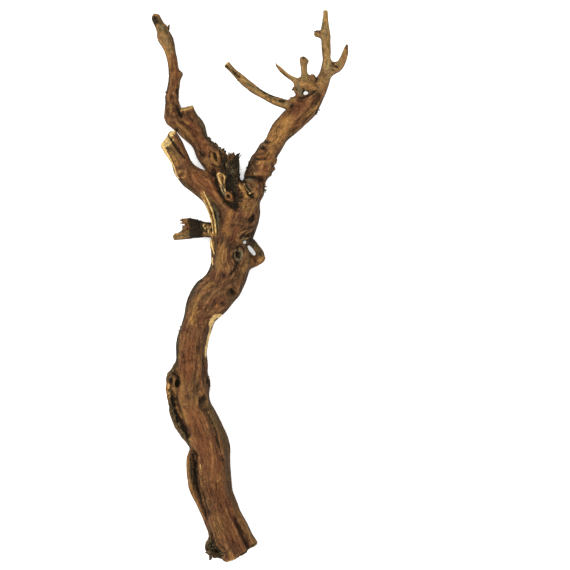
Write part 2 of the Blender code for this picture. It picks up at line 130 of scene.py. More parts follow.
# The wood fibres follow these courses: slot, then x, y on the drawing, height, radius.
# Limbs that meet have different slots.
grainLines = {
    "trunkAndArm": (0, [
        (240, 561, 20, 15), (226.2, 527, 18, 16.6), (213.5, 487, 20, 16.8), (209.8, 453, 21, 18),
        (199.6, 424, 19.5, 18), (192, 398, 18, 17.5), (192.8, 378, 18.5, 15.5), (192, 350, 21, 15.2),
        (196.4, 326, 25, 15), (207.9, 303.8, 27, 19.2), (222.6, 286.2, 28, 19.2), (230, 266, 27, 19.4),
        (229.6, 244, 26.5, 18.2), (236, 223, 28, 20), (243.5, 203, 27, 18), (253, 186.6, 26, 12.6),
        (259.3, 169.8, 22.5, 13), (269.3, 150.2, 16.6, 11.2), (281, 130.7, 12, 11.8),
        (298.6, 113.8, 12.6, 12.7), (310.6, 101, 15.6, 11.8), (318.8, 88, 19, 9.2), (325.2, 74, 21.6, 5.8),
        (326.5, 54, 24, 4.8), (326, 34, 26, 5), (325.4, 4, 27.5, 3.2),
    ]),
    "leftFork": (1, [
        (236, 232, 27, 15), (228, 208, 29, 16), (217, 193.4, 31.5, 16), (197.4, 181, 35.5, 13),
        (185, 170.4, 39, 11.3), (179.8, 158.8, 41.6, 10.2), (173.6, 147.2, 44, 10.8), (164, 130, 46, 10.4),
    ]),
    "upperLeftArm": (2, [
        (240, 214, 25, 15), (228, 186, 22, 14), (210.6, 158, 17.5, 11.5), (198, 137.4, 13.5, 9.8),
        (187, 127, 12, 9.6), (176.4, 119.4, 12, 9), (172.1, 104, 12, 8), (173.4, 86, 11.5, 6.2),
        (173.1, 68, 10.5, 5.7), (167.2, 43, 10, 7.2), (160.8, 28.5, 10, 5.9), (153, 8, 10, 5),
    ]),
    "upperLeftStub": (1, [(202, 142, 13, 8.4), (193, 121, 13.5, 7.8), (183, 96, 15, 7.2)]),
    "longCane": (1, [
        (304, 107, 16, 5.5), (283, 104, 23, 5), (264.6, 96.2, 27.5, 4.4), (245.4, 82.8, 32, 4.6),
        (218, 58, 37, 4.2),
    ]),
    "spurBlock": (2, [(323, 91, 19, 7.5), (306, 85.6, 25.5, 5.9), (300, 93, 25.5, 4.2), (303, 106, 17, 6)]),
    "spurStub": (0, [(306, 89, 25, 5), (304.4, 75, 29, 4.3), (302.6, 56, 33, 4.6)]),
    "thinShoot": (1, [(304, 88, 26, 4.4), (288, 76.4, 30, 3), (273, 63, 35.5, 1.6)]),
    "topSideStub": (1, [(328, 38, 25, 4.4), (312, 34.4, 30.5, 4)]),
    "hook": (1, [(321, 79, 20, 5.6), (336.5, 68.3, 24, 5.2), (344.4, 56.4, 29, 4.4), (346.8, 43, 34, 2.4)]),
    "lowStub": (1, [(226, 232, 21, 10), (206, 229.6, 16, 7.8), (191.4, 229, 13.5, 8.2), (170, 233, 12, 6)]),
    "loopCane": (2, [(239, 226, 17, 6), (254, 246.3, 14.5, 4.2), (263, 260.5, 16, 4.3)]),
    "loopNub": (1, [(234, 262.6, 25, 10), (248, 262.4, 20, 7.6), (264, 257.5, 15.4, 4.6)]),
    "darkStub": (0, [(236, 214, 30, 11), (231.4, 181, 33, 9.4), (233.4, 154, 32, 7.6)]),
}
fibres = {
    "step": 2.0,  # between the samples of a course
    "farthest": 60.0,
    "reach": 34,
    "endSlack": 1.5,  # how far a course still counts past its ends
    "endWeight": 2,
    "courseShift": 173,  # sets each course's figure apart from the others'
    "blend": 2.4,  # how softly the slots meet
}

# Knots turn the fibres aside: x, y, radius of the turned fibres, stretch along the limb.
knotEyes = {
    "eyeKnot": (239, 255, 8.5, 1.3),
    "curlKnot": (244, 236, 6.5, 1.1),
    "bendKnot": (232.5, 292, 5.5, 1.2),
    "bendSpot": (222.5, 303, 3.2, 1.3),
    "splinterKnot": (249, 191, 6.5, 1.6),
    "forkKnot": (183, 175, 6, 1.1),
    "armKnot": (215.5, 157.5, 6, 1.3),
    "rootKnot": (202, 400, 6.5, 1.3),
    "pocketKnot": (174, 383, 6, 1.8),
    "ovalKnot": (221.6, 181, 6, 1.8),
    "redKnot": (229.4, 197.5, 4.2, 1.1),
    "edgeKnot": (253, 219, 4.5, 1.3),
    "trunkPin": (199, 467, 2.2, 2),
    "hookKnot": (334, 67, 4, 1.2),
    "topKnot": (321, 34, 3.4, 1.1),
    "armFoldKnot": (263, 149, 4, 1.4),
    "stubNode": (208, 230, 5, 1.2),
}
knotTurn = {
    "whole": 2,  # the fibres are turned fully to this many radii, and not at all at twice that
    "rings": 1.5,
    "steepest": 0.3,  # a limb that stands up more than this is left alone
}


def smoothCourse(points, step):
    # A curve through the points, with a sample about every step.
    row = np.array(points, float)
    row = np.vstack([2 * row[0] - row[1], row, 2 * row[-1] - row[-2]])
    made = []
    for before, here, there, after in zip(row, row[1:], row[2:], row[3:]):
        count = max(2, int(np.linalg.norm((there - here)[:3]) / step))
        for t in np.arange(count) / count:
            made.append(0.5 * (
                2 * here + (there - before) * t + (2 * before - 5 * here + 4 * there - after) * t**2
                + (3 * here - before - 3 * there + after) * t**3
            ))
    made.append(row[-2])
    return np.array(made)


def framedCourse(points):
    # Middle line, direction, two steady cross directions, length so far and radius at each sample.
    row = smoothCourse(points, fibres["step"])
    line = np.array([[*place(x, y)[:2], z] for x, y, z, _ in row])
    along = np.gradient(line, axis=0)
    along /= np.linalg.norm(along, axis=1)[:, None]
    across = np.empty_like(line)
    start = np.cross(along[0], (0, 0, 1.0))
    for i, direction in enumerate(along):
        start = start - direction * (start @ direction)
        start /= np.linalg.norm(start)
        across[i] = start
    length = np.concatenate([[0], np.cumsum(np.linalg.norm(np.diff(line, axis=0), axis=1))])
    return line, along, across, np.cross(along, across), length, row[:, 3]


def followGrain(points):
    # For each slot: coordinates (across, across, along) in millimetres, its cross directions, and its share.
    count = len(points)
    grain = np.zeros((3, count, 3))
    cross = np.zeros((3, count, 2, 3))
    away = np.full((3, count), fibres["farthest"])
    for order, (slot, course) in enumerate(grainLines.values()):
        line, along, first, second, length, radius = framedCourse(course)
        low, high = line.min(0) - fibres["reach"], line.max(0) + fibres["reach"]
        near = np.where(((points > low) & (points < high)).all(1))[0]
        tree = kdtree.KDTree(len(line))
        for i, spot in enumerate(line):
            tree.insert(spot, i)
        tree.balance()
        found = np.array([tree.find(spot)[1] for spot in points[near].tolist()], int)
        offset = points[near] - line[found]
        run = (offset * along[found]).sum(1)
        side = offset - along[found] * run[:, None]
        beyond = np.maximum(run - fibres["endSlack"], 0) * (found == len(line) - 1)
        beyond += np.maximum(-run - fibres["endSlack"], 0) * (found == 0)
        distance = np.linalg.norm(side, axis=1) - radius[found] + beyond * fibres["endWeight"]
        better = distance < away[slot][near]
        chosen, index = near[better], found[better]
        away[slot][chosen] = distance[better]
        grain[slot][chosen] = np.stack([
            (side[better] * first[index]).sum(1) + order * fibres["courseShift"],
            (side[better] * second[index]).sum(1),
            length[index] + run[better],
        ], axis=1)
        cross[slot][chosen, 0] = first[index]
        cross[slot][chosen, 1] = second[index]
    share = np.exp(-(away - away.min(0)) / fibres["blend"])
    share /= share.sum(0)
    return grain, cross, share


def turnRoundKnots(points, grain, cross, share):
    # Pushes the fibres aside round each knot, and gives the rings inside it.
    rings = np.zeros((len(points), 3))
    main = share.argmax(0)
    whole = knotTurn["whole"]
    for x, y, radius, stretch in knotEyes.values():
        offset = points[:, :2] - np.array(place(x, y)[:2])
        near = np.where(np.abs(offset).max(1) < radius * whole * 2)[0]
        if not len(near):
            continue
        for slot in range(3):
            first, second = cross[slot][near, 0], cross[slot][near, 1]
            forward = np.cross(first, second)[:, :2]
            size = np.linalg.norm(forward, axis=1)
            forward = forward / np.maximum(size, 1e-6)[:, None]
            sideways = np.stack([forward[:, 1], -forward[:, 0]], axis=1)
            t = (offset[near] * sideways).sum(1)
            s = (offset[near] * forward).sum(1) / stretch
            reach = np.hypot(t, s)
            fade = np.clip(2 - reach / (radius * whole), 0, 1)
            shift = -t * radius**2 / np.maximum(reach**2, radius**2) * fade * (size > knotTurn["steepest"])
            grain[slot][near, 0] += shift * (sideways * first[:, :2]).sum(1)
            grain[slot][near, 1] += shift * (sideways * second[:, :2]).sum(1)
            mine = main[near] == slot
            inside = np.clip(knotTurn["rings"] - reach / radius, 0, 1)
            rings[near[mine], 0] = np.where(inside[mine] > 0, reach[mine], rings[near[mine], 0])
            rings[near[mine], 1] = np.maximum(rings[near[mine], 1], inside[mine])
    return rings


def oval(x, y, halfWidth, halfLength, turn=0, fromAngle=0, toAngle=360, count=12):
    # Points round an oval, its long way turned clockwise from straight up.
    sine, cosine = math.sin(math.radians(turn)), math.cos(math.radians(turn))
    made = []
    for angle in np.radians(np.linspace(fromAngle, toAngle, count + 1)):
        right, down = halfWidth * math.sin(angle), -halfLength * math.cos(angle)
        made.append((x + right * cosine - down * sine, y + right * sine + down * cosine))
    return made


# Tone, strength, half width, relief (out, or less than nothing for in), course on the drawing.
marks = [
    # where the wood is lumpy
    ("knobbly", 0.35, 9, 0, (176, 122), (190, 122), (200, 138)),
    ("knobbly", 0.8, 8, 0, (208, 150), (216, 158), (222, 170)),
    ("knobbly", 0.9, 6, 0, (172, 118), (172, 96)),
    ("knobbly", 0.8, 12, 0, (253, 186), (259, 170), (266, 156), (272, 146)),
    ("knobbly", 0.3, 11, 0, (272, 146), (290, 122), (312, 98)),
    ("knobbly", 0.9, 6, 0, (298, 90), (312, 87), (320, 92)),
    ("knobbly", 0.5, 4, 0, (226, 66), (250, 88), (284, 105)),
    ("knobbly", 0.4, 4, 0, (325, 14), (326, 60)),
    ("knobbly", 0.4, 5, 0, (168, 46), (173, 70), (174, 96)),
    ("knobbly", 1.0, 5, 0, (275, 158), (278, 166), (274, 176)),
    ("knobbly", 0.9, 5, 0, (294, 86), (295, 94)),
    ("knobbly", 1.0, 9, 0, (226, 164), (232, 186), (234, 204)),
    ("knobbly", 0.4, 12, 0, (240, 204), (248, 222), (244, 240)),
    ("knobbly", 1.0, 6, 0, (196, 229), (211, 230)),
    ("knobbly", 0.9, 5, 0, (183, 175), (186, 172)),
    ("knobbly", 1.0, 7, 0, (210, 538), (213, 550), (222, 553)),
    ("knobbly", 1.0, 5, 0, (172, 372), (170, 396), (176, 420), (187, 438)),
    ("knobbly", 0.7, 4, 0, (316, 34), (322, 34)),
    ("knobbly", 0.8, 5, 0, (331, 68), (338, 68)),
    ("knobbly", 0.5, 5, 0, (165, 34), (160, 22)),
    # where the wood is deeper in colour
    ("deep", 0.8, 11, 0, (176, 118), (190, 130), (205, 148), (222, 166)),
    ("deep", 0.8, 6, 0, (172, 112), (174, 88), (173, 60)),
    ("deep", 0.6, 15, 0, (247, 206), (243, 226), (236, 240)),
    ("deep", 0.45, 12, 0, (226, 236), (224, 262), (214, 280), (202, 298)),
    ("deep", 0.35, 13, 0, (196, 350), (190, 390), (204, 430), (214, 470), (222, 510), (234, 546)),
    ("deep", 0.5, 9, 0, (246, 212), (240, 224), (244, 232)),
    ("deep", 0.6, 9, 0, (238, 176), (236, 192), (240, 204)),
    ("deep", 0.5, 9, 0, (256, 178), (259, 164), (264, 152)),
    ("deep", 0.6, 9, 0, (186, 168), (196, 178), (208, 188), (218, 202)),
    # where it is weathered to straw
    ("straw", 1.0, 5, 0, (325.4, 10), (326, 40), (326, 68)),
    ("straw", 0.6, 5, 0, (345.6, 44), (344, 60), (337, 70), (329, 77)),
    ("straw", 0.35, 7, 0, (323, 80), (312, 88), (298, 84)),
    ("straw", 0.8, 4, 0, (303, 58), (304, 78)),
    ("straw", 0.8, 3.5, 0, (275, 65), (286, 73), (296, 80)),
    ("straw", 0.75, 5, 0, (224, 63), (250, 88), (286, 106)),
    ("straw", 0.55, 6, 0, (153, 12), (164, 34), (168, 52)),
    ("straw", 0.4, 5, 0, (314, 34), (319, 34)),
    ("straw", 0.5, 6, 0, (174, 237), (188, 234)),
    ("straw", 0.5, 4, 0, (203, 224), (209, 238)),
    # foot
    ("black", 0.85, 1.5, -1.4, (192.4, 454), (194, 461), (195.6, 468)),
    ("black", 1.0, 2.3, -2.2, (194.8, 463), (195.4, 474), (196.2, 483), (198, 491)),
    ("black", 0.9, 1.1, -1.4, (198.4, 490), (201, 501), (204.4, 510), (206.8, 519)),
    ("bark", 0.6, 2.4, 0, (190, 456), (190.4, 466), (191.6, 478), (194, 490)),
    ("deep", 0.8, 1.8, 0.9, (199.6, 457), (199.8, 468), (200.2, 480), (201.4, 492)),
    ("gold", 0.3, 0.7, 0.4, (187, 458), (187.4, 468), (188.6, 480), (191.6, 490), (196, 500), (201, 511),
     (205, 520)),
    ("gold", 0.25, 0.8, 0.4, (200.6, 470), (200.6, 482), (202.4, 496), (206, 506)),
    ("gold", 1.0, 1.1, 0.5, (200.2, 463.6), (200.8, 470)),
    ("pale", 0.6, 0.8, 0.4, (200.2, 464), (200.6, 468)),
    ("gold", 0.9, 0.7, 0, (220.8, 475), (220.2, 480)),
    ("gold", 0.6, 0.7, 0, (217.4, 479), (217.8, 482)),
    ("gold", 0.7, 0.7, 0, (206, 502), (209.4, 496.5)),
    ("gold", 0.6, 0.8, 0, (226, 507), (228, 513)),
    ("gold", 0.25, 5.0, 0, (217, 515), (219.6, 525), (217, 536)),
    ("red", 0.55, 9, 0, (207, 446), (215, 468), (220, 488), (228, 512), (240, 540)),
    ("red", 0.6, 4, 0, (231, 535), (241, 546)),
    ("olive", 0.5, 3.2, 0, (224, 438), (226.4, 455), (227, 474), (229, 492), (236.6, 508), (246, 528),
     (255, 543)),
    ("shade", 0.4, 3.2, 0, (226, 440), (229, 470), (230, 488), (238, 508)),
    ("black", 0.7, 0.7, -0.8, (216, 436), (218, 444), (219.6, 449)),
    ("black", 0.55, 0.8, -0.7, (220.6, 449), (222.6, 456), (223.4, 464)),
    ("black", 0.7, 0.9, -0.7, (233.6, 515), (238, 523), (242.6, 531), (246.6, 537), (248.6, 541)),
    ("deep", 0.2, 3.2, 1.5, (238.6, 520), (244, 532), (249.6, 543)),
    ("gold", 0.2, 1.0, 0.3, (236, 507), (243, 521), (250, 534)),
    ("gold", 0.8, 1.4, 0, (230, 551), (231, 555), (232.6, 559)),
    ("black", 0.8, 1.0, -1.0, (223.4, 546), (225, 549)),
    ("shade", 0.7, 0.9, -0.5, (226, 548), (227, 556)),
    ("bark", 1.0, 5.2, 0, (209, 541), (212, 550), (220, 554)),
    ("black", 0.9, 1.2, -1.2, (216, 545), (220, 550)),
    ("bark", 1.0, 1.9, 2.0, (208.6, 541), (209.4, 544)),
    ("bark", 1.0, 1.7, 1.9, (207.8, 548.6), (208.6, 551)),
    ("bark", 1.0, 1.7, 1.8, (213, 555), (216, 555.6)),
    ("bark", 1.0, 1.6, 1.6, (214, 546.4), (215, 549)),
    ("bark", 1.0, 1.4, 1.6, (219.6, 553.6), (221, 554)),
    ("bark", 1.0, 1.3, 1.4, (211.6, 549), (212.6, 552)),
    ("black", 1.0, 1.0, -1.6, (209, 546), (211.4, 546.6)),
    ("black", 1.0, 1.0, -1.6, (210.6, 553.6), (211, 555)),
    ("black", 1.0, 0.9, -1.4, (217.4, 550.6), (217.6, 554)),
    ("grey", 0.4, 0.8, 0.4, (209.4, 538), (211, 542)),
    ("grey", 0.4, 0.7, 0.2, (208, 549.4), (208.4, 550.4)),
    ("grey", 0.4, 0.7, 0.2, (216, 555), (217, 555.4)),
    ("black", 1.0, 1.2, -2.4, (211.6, 541), (212.4, 545)),
    ("black", 1.0, 1.2, -2.4, (214.6, 550.4), (218, 553)),
    ("olive", 0.8, 1.4, 0, (208.4, 524), (209.4, 532), (209.4, 537)),
    # broad tones over the trunk
    ("deep", 0.75, 14, 0, (219, 496), (226, 516), (236, 540), (240, 552)),
    ("shade", 0.2, 13, 0, (219, 500), (227, 518), (238, 542)),
    ("deep", 0.4, 12, 0, (190, 336), (190, 356), (190, 376)),
    ("deep", 0.4, 12, 0, (232, 210), (228, 226), (224, 240)),
    # trunk above the foot
    ("red", 0.6, 9, 0, (192, 412), (199, 430), (206, 450)),
    ("shade", 0.35, 5, 0, (192, 428), (200, 434)),
    ("black", 0.8, 0.9, -1.2, (208.4, 413), (211.4, 421), (215.4, 430), (218.4, 441), (220, 448)),
    ("olive", 0.8, 3.8, 0, (206.6, 405), (213, 416), (219, 427), (224, 438)),
    ("shade", 0.5, 2.0, 0, (219, 426), (223.6, 436), (226, 446)),
    ("black", 0.8, 0.9, 0, (227.6, 433), (229.6, 441), (230.6, 450)),
    ("gold", 0.25, 5, 0, (183, 386), (181, 400), (186, 415)),
    ("gold", 0.5, 1.0, 0.5, (176, 393), (175.2, 401), (175.6, 408), (180, 414), (185, 420), (188, 428)),
    ("gold", 0.8, 1.7, 0, (183.4, 415), (186, 420)),
    ("gold", 0.5, 1.2, 0, (189.6, 432), (191.4, 441), (191, 449)),
    ("gold", 0.35, 2.4, 0, (180.6, 372), (182, 380), (183, 390)),
    ("olive", 0.35, 5, 0, (196, 376), (197, 388), (194, 396)),
    # pocket and upper strand on the left
    ("bark", 1.0, 3.0, 0.4, (174.6, 366), (170.4, 372), (168.4, 379)),
    ("black", 0.9, 1.5, -1.0, (172, 372.6), (176, 374.6), (178.6, 378)),
    ("black", 1.0, 2.0, -3.0, (171, 378.6), (171.2, 383)),
    ("black", 1.0, 2.4, -4.0, (177.2, 380.6), (176.8, 386)),
    ("gold", 0.5, 1.2, 1.0, (174, 376.6), (174.4, 382), (173.8, 388)),
    ("olive", 0.6, 1.9, 0, (173.6, 378), (174.4, 386)),
    ("black", 0.9, 1.2, -1.4, (171.4, 384), (170.4, 390), (173, 397)),
    ("gold", 0.7, 1.0, 0.4, (174.6, 390), (175.6, 393)),
    ("gold", 1.0, 1.9, 0.3, (168.6, 384), (169, 391), (169.6, 399)),
    ("pale", 0.6, 1.2, 0.3, (168.8, 385), (169, 392), (169.6, 396)),
    ("black", 0.95, 1.9, -0.8, (171.2, 396.6), (172.4, 403)),
    ("grey", 0.5, 1.2, 0.3, (170.4, 402), (171.4, 408)),
    ("bark", 1.0, 3.2, 0.3, (171, 401), (172, 410), (175.4, 421), (181, 432), (187.6, 441)),
    ("olive", 0.8, 1.6, 0, (171.6, 408), (173.4, 417), (178, 427), (184, 437), (189, 444)),
    ("grey", 0.6, 0.9, 0.3, (173.4, 412), (174.4, 416)),
    ("grey", 0.5, 0.8, 0.3, (179.6, 422.6), (182.6, 428)),
    ("black", 1.0, 2.1, -1.6, (174.8, 410), (178, 417), (183, 426.6), (187.6, 436)),
    ("olive", 0.9, 1.6, 0, (186, 438.6), (188.6, 440)),
    # dark edges of the middle trunk
    ("bark", 1.0, 2.0, 0.1, (179.4, 333), (177.4, 342), (177.8, 353), (176.6, 363)),
    ("black", 0.6, 1.1, 0, (178, 337), (177, 345), (177.4, 356)),
    ("gold", 0.3, 0.8, 0.2, (181, 334), (180, 344), (180, 358)),
    ("shade", 0.55, 1.5, -0.25, (181, 361), (187, 361.4), (193, 360)),
    ("red", 0.6, 7, 0, (190, 340), (189, 358), (188, 376)),
    ("shade", 0.3, 3.4, 0, (199, 338), (199, 350), (197, 362)),
    # painted highlight
    ("gold", 0.5, 0.8, 0, (188.6, 334.6), (188.4, 341)),
    ("shade", 0.75, 2.2, -0.5, (203.6, 356), (203.8, 367), (203, 378), (204.4, 387)),
    ("black", 0.62, 1.2, -0.4, (203.6, 359), (204.6, 368)),
    ("black", 1.0, 1.1, 0, (206.4, 376), (208.6, 380), (208.6, 387)),
    ("gold", 0.4, 1.2, 0.3, (204.6, 384), (203, 391)),
    ("black", 0.9, 1.0, -1.2, (207, 378), (207.4, 384)),
    ("black", 0.5, 1.6, -0.8, (200.4, 396.6), (200, 402.6)),
    ("olive", 0.8, 3.4, 0, (204.6, 397), (205.6, 405)),
    ("shade", 0.7, 3.0, -0.5, (203.6, 397), (204, 403), (206, 408)),
    ("shade", 0.7, 2.2, -0.3, (199, 404), (203, 409), (207, 410)),
    # painted highlight along the hollow's rim
    ("gold", 0.2, 1.4, 0.2, (196.4, 396), (197, 404), (201, 410)),
    # bend
    ("bark", 1.0, 1.5, 0.2, (213.4, 266), (209, 273), (200.6, 279.6), (193.6, 287), (188.6, 295), (186, 307)),
    ("bark", 1.0, 1.1, 0.2, (186, 307), (184.4, 318), (182, 328), (179.6, 335)),
    ("black", 0.9, 1.1, -0.5, (201, 282), (203, 280.6)),
    ("black", 0.8, 0.8, -0.4, (208, 277), (210.4, 275.6)),
    ("black", 0.7, 0.9, 0, (190, 290), (192, 287.6)),
    # painted highlight down the left of the bend, where the light falls
    ("gold", 0.75, 2.6, 0.2, (199, 295), (195.6, 304), (193.6, 313), (192, 323)),
    ("gold", 0.8, 0.9, 0.2, (195, 306), (193.6, 313), (193, 320)),
    # painted highlight over the top of the bend
    ("gold", 0.5, 2.2, 0, (204, 288), (209, 283.6), (213.6, 284)),
    ("olive", 0.4, 3.4, 0, (204, 300), (213, 293), (218, 290)),
    ("black", 0.95, 2.3, -1.6, (231.4, 290), (234.4, 293.4)),
    ("shade", 0.8, 3.2, -0.4, (226.6, 289.6), (229, 294), (234, 297)),
    ("shade", 0.5, 0.9, 0.4, *oval(231.6, 292, 6.4, 6, 20, 170, 400)),
    ("black", 0.8, 1.4, -0.8, (222, 303), (223.4, 303)),
    ("shade", 0.5, 2.8, 0, (222.6, 303.4), (225, 304)),
    ("shade", 0.4, 3.0, -0.2, (237.6, 283), (239, 279)),
    ("olive", 0.85, 1.7, 0, (252, 268), (248, 278), (241.6, 291), (236.4, 301), (228, 309)),
    ("pale", 1.0, 2.6, 0.3, (221, 315.2), (216, 316.6), (212.6, 319.6), (211, 326)),
    ("pale", 1.0, 1.2, 0.2, (211, 326), (209.6, 333), (207.8, 341), (206, 350), (205.6, 357)),
    ("black", 0.65, 0.7, -0.3, (214.6, 321.6), (212, 327.6), (210.6, 332)),
    ("shade", 0.4, 4.4, 0, (207, 327), (206, 335), (203, 345)),
    # crown, lower half
    ("black", 0.9, 1.2, -0.8, *oval(239, 254.6, 5.3, 8.6, 12, 150, 430)),
    ("olive", 0.9, 3.6, 0, (238.4, 251), (239.4, 259)),
    ("grey", 1.0, 1.6, 0.9, *oval(238.8, 255, 3.4, 4.6, 10, -30, 230)),
    ("grey", 0.9, 1.3, 0.7, (238, 259.6), (239.6, 262)),
    ("grey", 0.9, 0.9, 0.5, (235.8, 249), (235, 253), (235.8, 257), (237.4, 260)),
    ("pale", 0.4, 0.7, 0.4, (242.4, 253), (242.6, 257.6)),
    ("black", 0.9, 0.8, -0.8, (239.4, 257), (240.4, 259.6)),
    ("black", 0.9, 0.9, -0.8, (237.4, 248.4), (238.8, 250.6)),
    ("black", 1.0, 1.5, -2.8, (236.8, 252), (238.4, 255.6)),
    ("black", 1.0, 0.8, -1.0, (238, 262.6), (236.2, 268), (232.6, 273), (229, 276.4)),
    ("shade", 0.5, 1.1, -0.5, (229, 276.4), (225, 276), (222.6, 272)),
    ("gold", 0.5, 3.0, 0, (248, 252), (249.6, 262), (244, 271)),
    ("gold", 0.45, 3.4, 0.2, (222, 246), (221, 257), (220, 268)),
    ("gold", 0.5, 1.0, 0, (226.6, 249), (226, 262)),
    ("olive", 0.6, 1.8, 0, (216, 240), (215.6, 254), (216.6, 266)),
    ("shade", 0.4, 4.4, 0, (222, 276), (231, 282), (241, 274)),
    ("shade", 0.45, 2.6, 0, (229, 238), (233, 245), (231, 258)),
    ("pale", 0.9, 1.1, 0.3, (211, 240), (211.8, 247), (213.8, 254)),
    ("pale", 0.8, 1.0, 0.2, (212.4, 258), (213, 265)),
    ("gold", 0.8, 0.9, 0.2, (213.4, 243), (215, 250)),
    ("shade", 0.8, 1.0, -0.5, (214, 237), (215, 243), (214.8, 258)),
    # loop
    ("olive", 0.85, 4.4, 0, (252, 240), (257, 248), (261.6, 256)),
    ("bark", 0.7, 4.0, 0.2, (253, 240), (258, 247), (261.6, 254)),
    ("gold", 0.7, 2.2, 0, (259, 261), (263.4, 258)),
    ("shade", 0.8, 1.3, -0.3, (254.6, 257.6), (256, 262)),
    ("red", 0.7, 1.6, 0, (252, 257), (256, 260)),
    ("black", 1.0, 1.8, -0.4, (253.4, 231), (252, 238), (249.6, 242)),
    ("black", 0.9, 1.6, -0.8, (249, 236), (247.6, 240.6), (246, 244)),
    ("shade", 0.6, 5.0, 0, (243, 237), (249, 233), (254, 230)),
    ("black", 0.6, 0.7, -0.7, (238.6, 236.6), (240.6, 232.6), (245.4, 229.4), (251.4, 227.4), (256, 225.6)),
    ("black", 0.8, 0.8, -0.9, (240.6, 240), (242.6, 235.4), (247, 232)),
    ("black", 0.8, 1.1, -0.8, (246.6, 236.4), (250.6, 233.6), (255, 232.6)),
    ("gold", 0.35, 0.9, 0.5, (240, 237.4), (242.4, 233), (247, 230.4)),
    ("gold", 0.35, 0.9, 0.5, (245, 235), (249.6, 232.2), (254, 231.2)),
    ("grey", 1.0, 1.3, 0.7, (243.6, 237.4), (245, 240.4)),
    ("pale", 0.6, 0.7, 0.5, (246.6, 239.6), (248.8, 237.6)),
    # crown, upper half
    ("red", 0.85, 3.6, 0, (231.6, 211), (229, 221), (225.6, 232)),
    ("gold", 0.55, 2.2, 0.3, (232, 210), (229.4, 220), (226, 231)),
    ("gold", 0.5, 2.8, 0, (224, 229), (229, 234)),
    ("gold", 0.45, 3.6, 0, (243, 205), (249, 210), (255, 206)),
    ("shade", 0.5, 3.6, -0.3, (236, 217), (243, 221), (250, 224)),
    ("shade", 0.6, 1.0, -0.4, (231, 226.4), (240, 225.6), (247, 228)),
    ("red", 0.5, 4.4, 0, (238, 229), (233, 238)),
    ("black", 1.0, 2.0, -1.6, (254, 216), (252, 221.6)),
    ("shade", 0.7, 1.6, -0.4, (247, 219), (251, 224)),
    ("olive", 0.6, 1.2, 0, (260, 199), (260, 212), (258, 224)),
    ("shade", 0.4, 3.0, 0, (222, 206), (223.6, 218), (222, 230)),
    ("olive", 0.95, 2.6, -0.5, (210, 198), (214.6, 208), (217.6, 219), (218.6, 233)),
    ("grey", 0.6, 1.9, -0.3, (214, 205), (217.4, 214), (218.4, 228)),
    ("olive", 0.7, 1.5, 0, (181, 181.6), (190, 189.6), (201, 196.4)),
    ("red", 0.7, 8.0, 0, (194, 178), (204, 181), (212, 186), (217, 196)),
    ("shade", 0.6, 2.0, -0.3, (189.6, 175), (190.6, 181)),
    # left fork
    ("pale", 0.9, 2.0, 0.3, (163, 144), (165, 151), (168.6, 156.6), (171.6, 162)),
    ("pale", 0.8, 1.4, 0.3, (171.6, 162), (174.6, 168), (176.4, 175), (179, 179)),
    ("gold", 0.8, 2.0, 0.2, (171, 153), (175, 160), (178, 166)),
    ("olive", 1.0, 3.0, 0, (170.4, 146.6), (174, 153), (178, 158)),
    ("shade", 0.6, 1.6, 0, (172, 149), (175.6, 155)),
    ("shade", 0.6, 1.2, -0.3, (167.4, 148.6), (170.4, 152.4)),
    ("red", 0.5, 3.4, 0, (180, 146), (184, 155), (188, 163)),
    ("shade", 0.5, 1.4, 0, (180.6, 141), (186, 151), (190, 160)),
    ("gold", 0.6, 1.4, 0.7, (179, 174), (182, 171.6), (186.6, 172.6)),
    ("gold", 0.6, 1.3, 0.6, (181, 179), (185, 178.6), (187.6, 175)),
    ("pale", 0.45, 0.9, 0.5, (181, 172.6), (184, 171.4)),
    ("pale", 0.45, 0.9, 0.4, (181.6, 178.4), (184.4, 179)),
    ("black", 0.7, 0.9, -0.8, (182, 175.6), (184.6, 175)),
    ("shade", 0.9, 0.8, -0.6, (180, 176.4), (182.4, 180.6)),
    ("shade", 0.8, 0.8, -0.5, (179, 170), (182, 169.4)),
    # dark heart of the crown
    ("black", 0.8, 4.4, -0.8, (230.6, 178), (231.6, 189), (233.6, 198), (235.6, 205)),
    ("red", 0.6, 3, 0, (238.6, 176), (239, 190)),
    ("knobbly", 1.0, 8, 0, (234, 160), (235, 172), (234, 186), (235, 202)),
    ("bark", 1.0, 7.5, 0, (233, 160), (234, 170), (233, 180), (232, 190)),
    ("bark", 0.9, 3.6, 0, (225, 163), (228, 170), (229, 178)),
    ("shade", 0.6, 3.6, 0, (224, 165), (228, 171)),
    ("black", 0.95, 3.0, 0, (235.4, 200), (237, 208)),
    ("black", 0.7, 5.0, 0, (230, 162), (234, 164), (238, 167)),
    ("black", 0.8, 3.6, 0, (238.4, 163), (238.6, 172), (239.6, 179)),
    ("grey", 0.45, 3.0, 0, (231, 163), (232.6, 170), (231, 176)),
    ("olive", 0.5, 3.0, 0, (223, 168), (230, 172), (233, 178)),
    ("black", 0.75, 0.8, -0.8, (229.6, 160), (230.6, 168), (229.6, 176)),
    ("black", 0.75, 0.8, -0.8, (234.6, 160), (234.6, 168), (236, 177)),
    ("black", 1.0, 1.5, -1.6, (215.6, 173), (217, 183), (219.6, 191), (224, 199.6), (229.6, 204.6)),
    ("black", 0.95, 2.4, -0.4, (224.6, 202.6), (231, 205.4), (236, 209)),
    ("clear", 0.9, 2.8, 0, (219.4, 176), (222.4, 182)),
    ("clear", 1.0, 4.2, 0.3, (221, 176.6), (222.6, 182)),
    ("gold", 0.8, 2.6, 0, (221, 176), (222.8, 182)),
    ("pale", 0.5, 0.8, 0.5, (219.4, 184), (221.4, 189), (224, 195)),
    ("pale", 0.6, 0.7, 0.4, (222.4, 186), (224.4, 190), (225.6, 193)),
    ("black", 0.9, 0.9, -1.2, (221.8, 177.4), (222.6, 180.6), (223.4, 184)),
    ("grey", 1.0, 2.2, 0.2, (222.6, 185), (223.8, 192), (225, 196.4)),
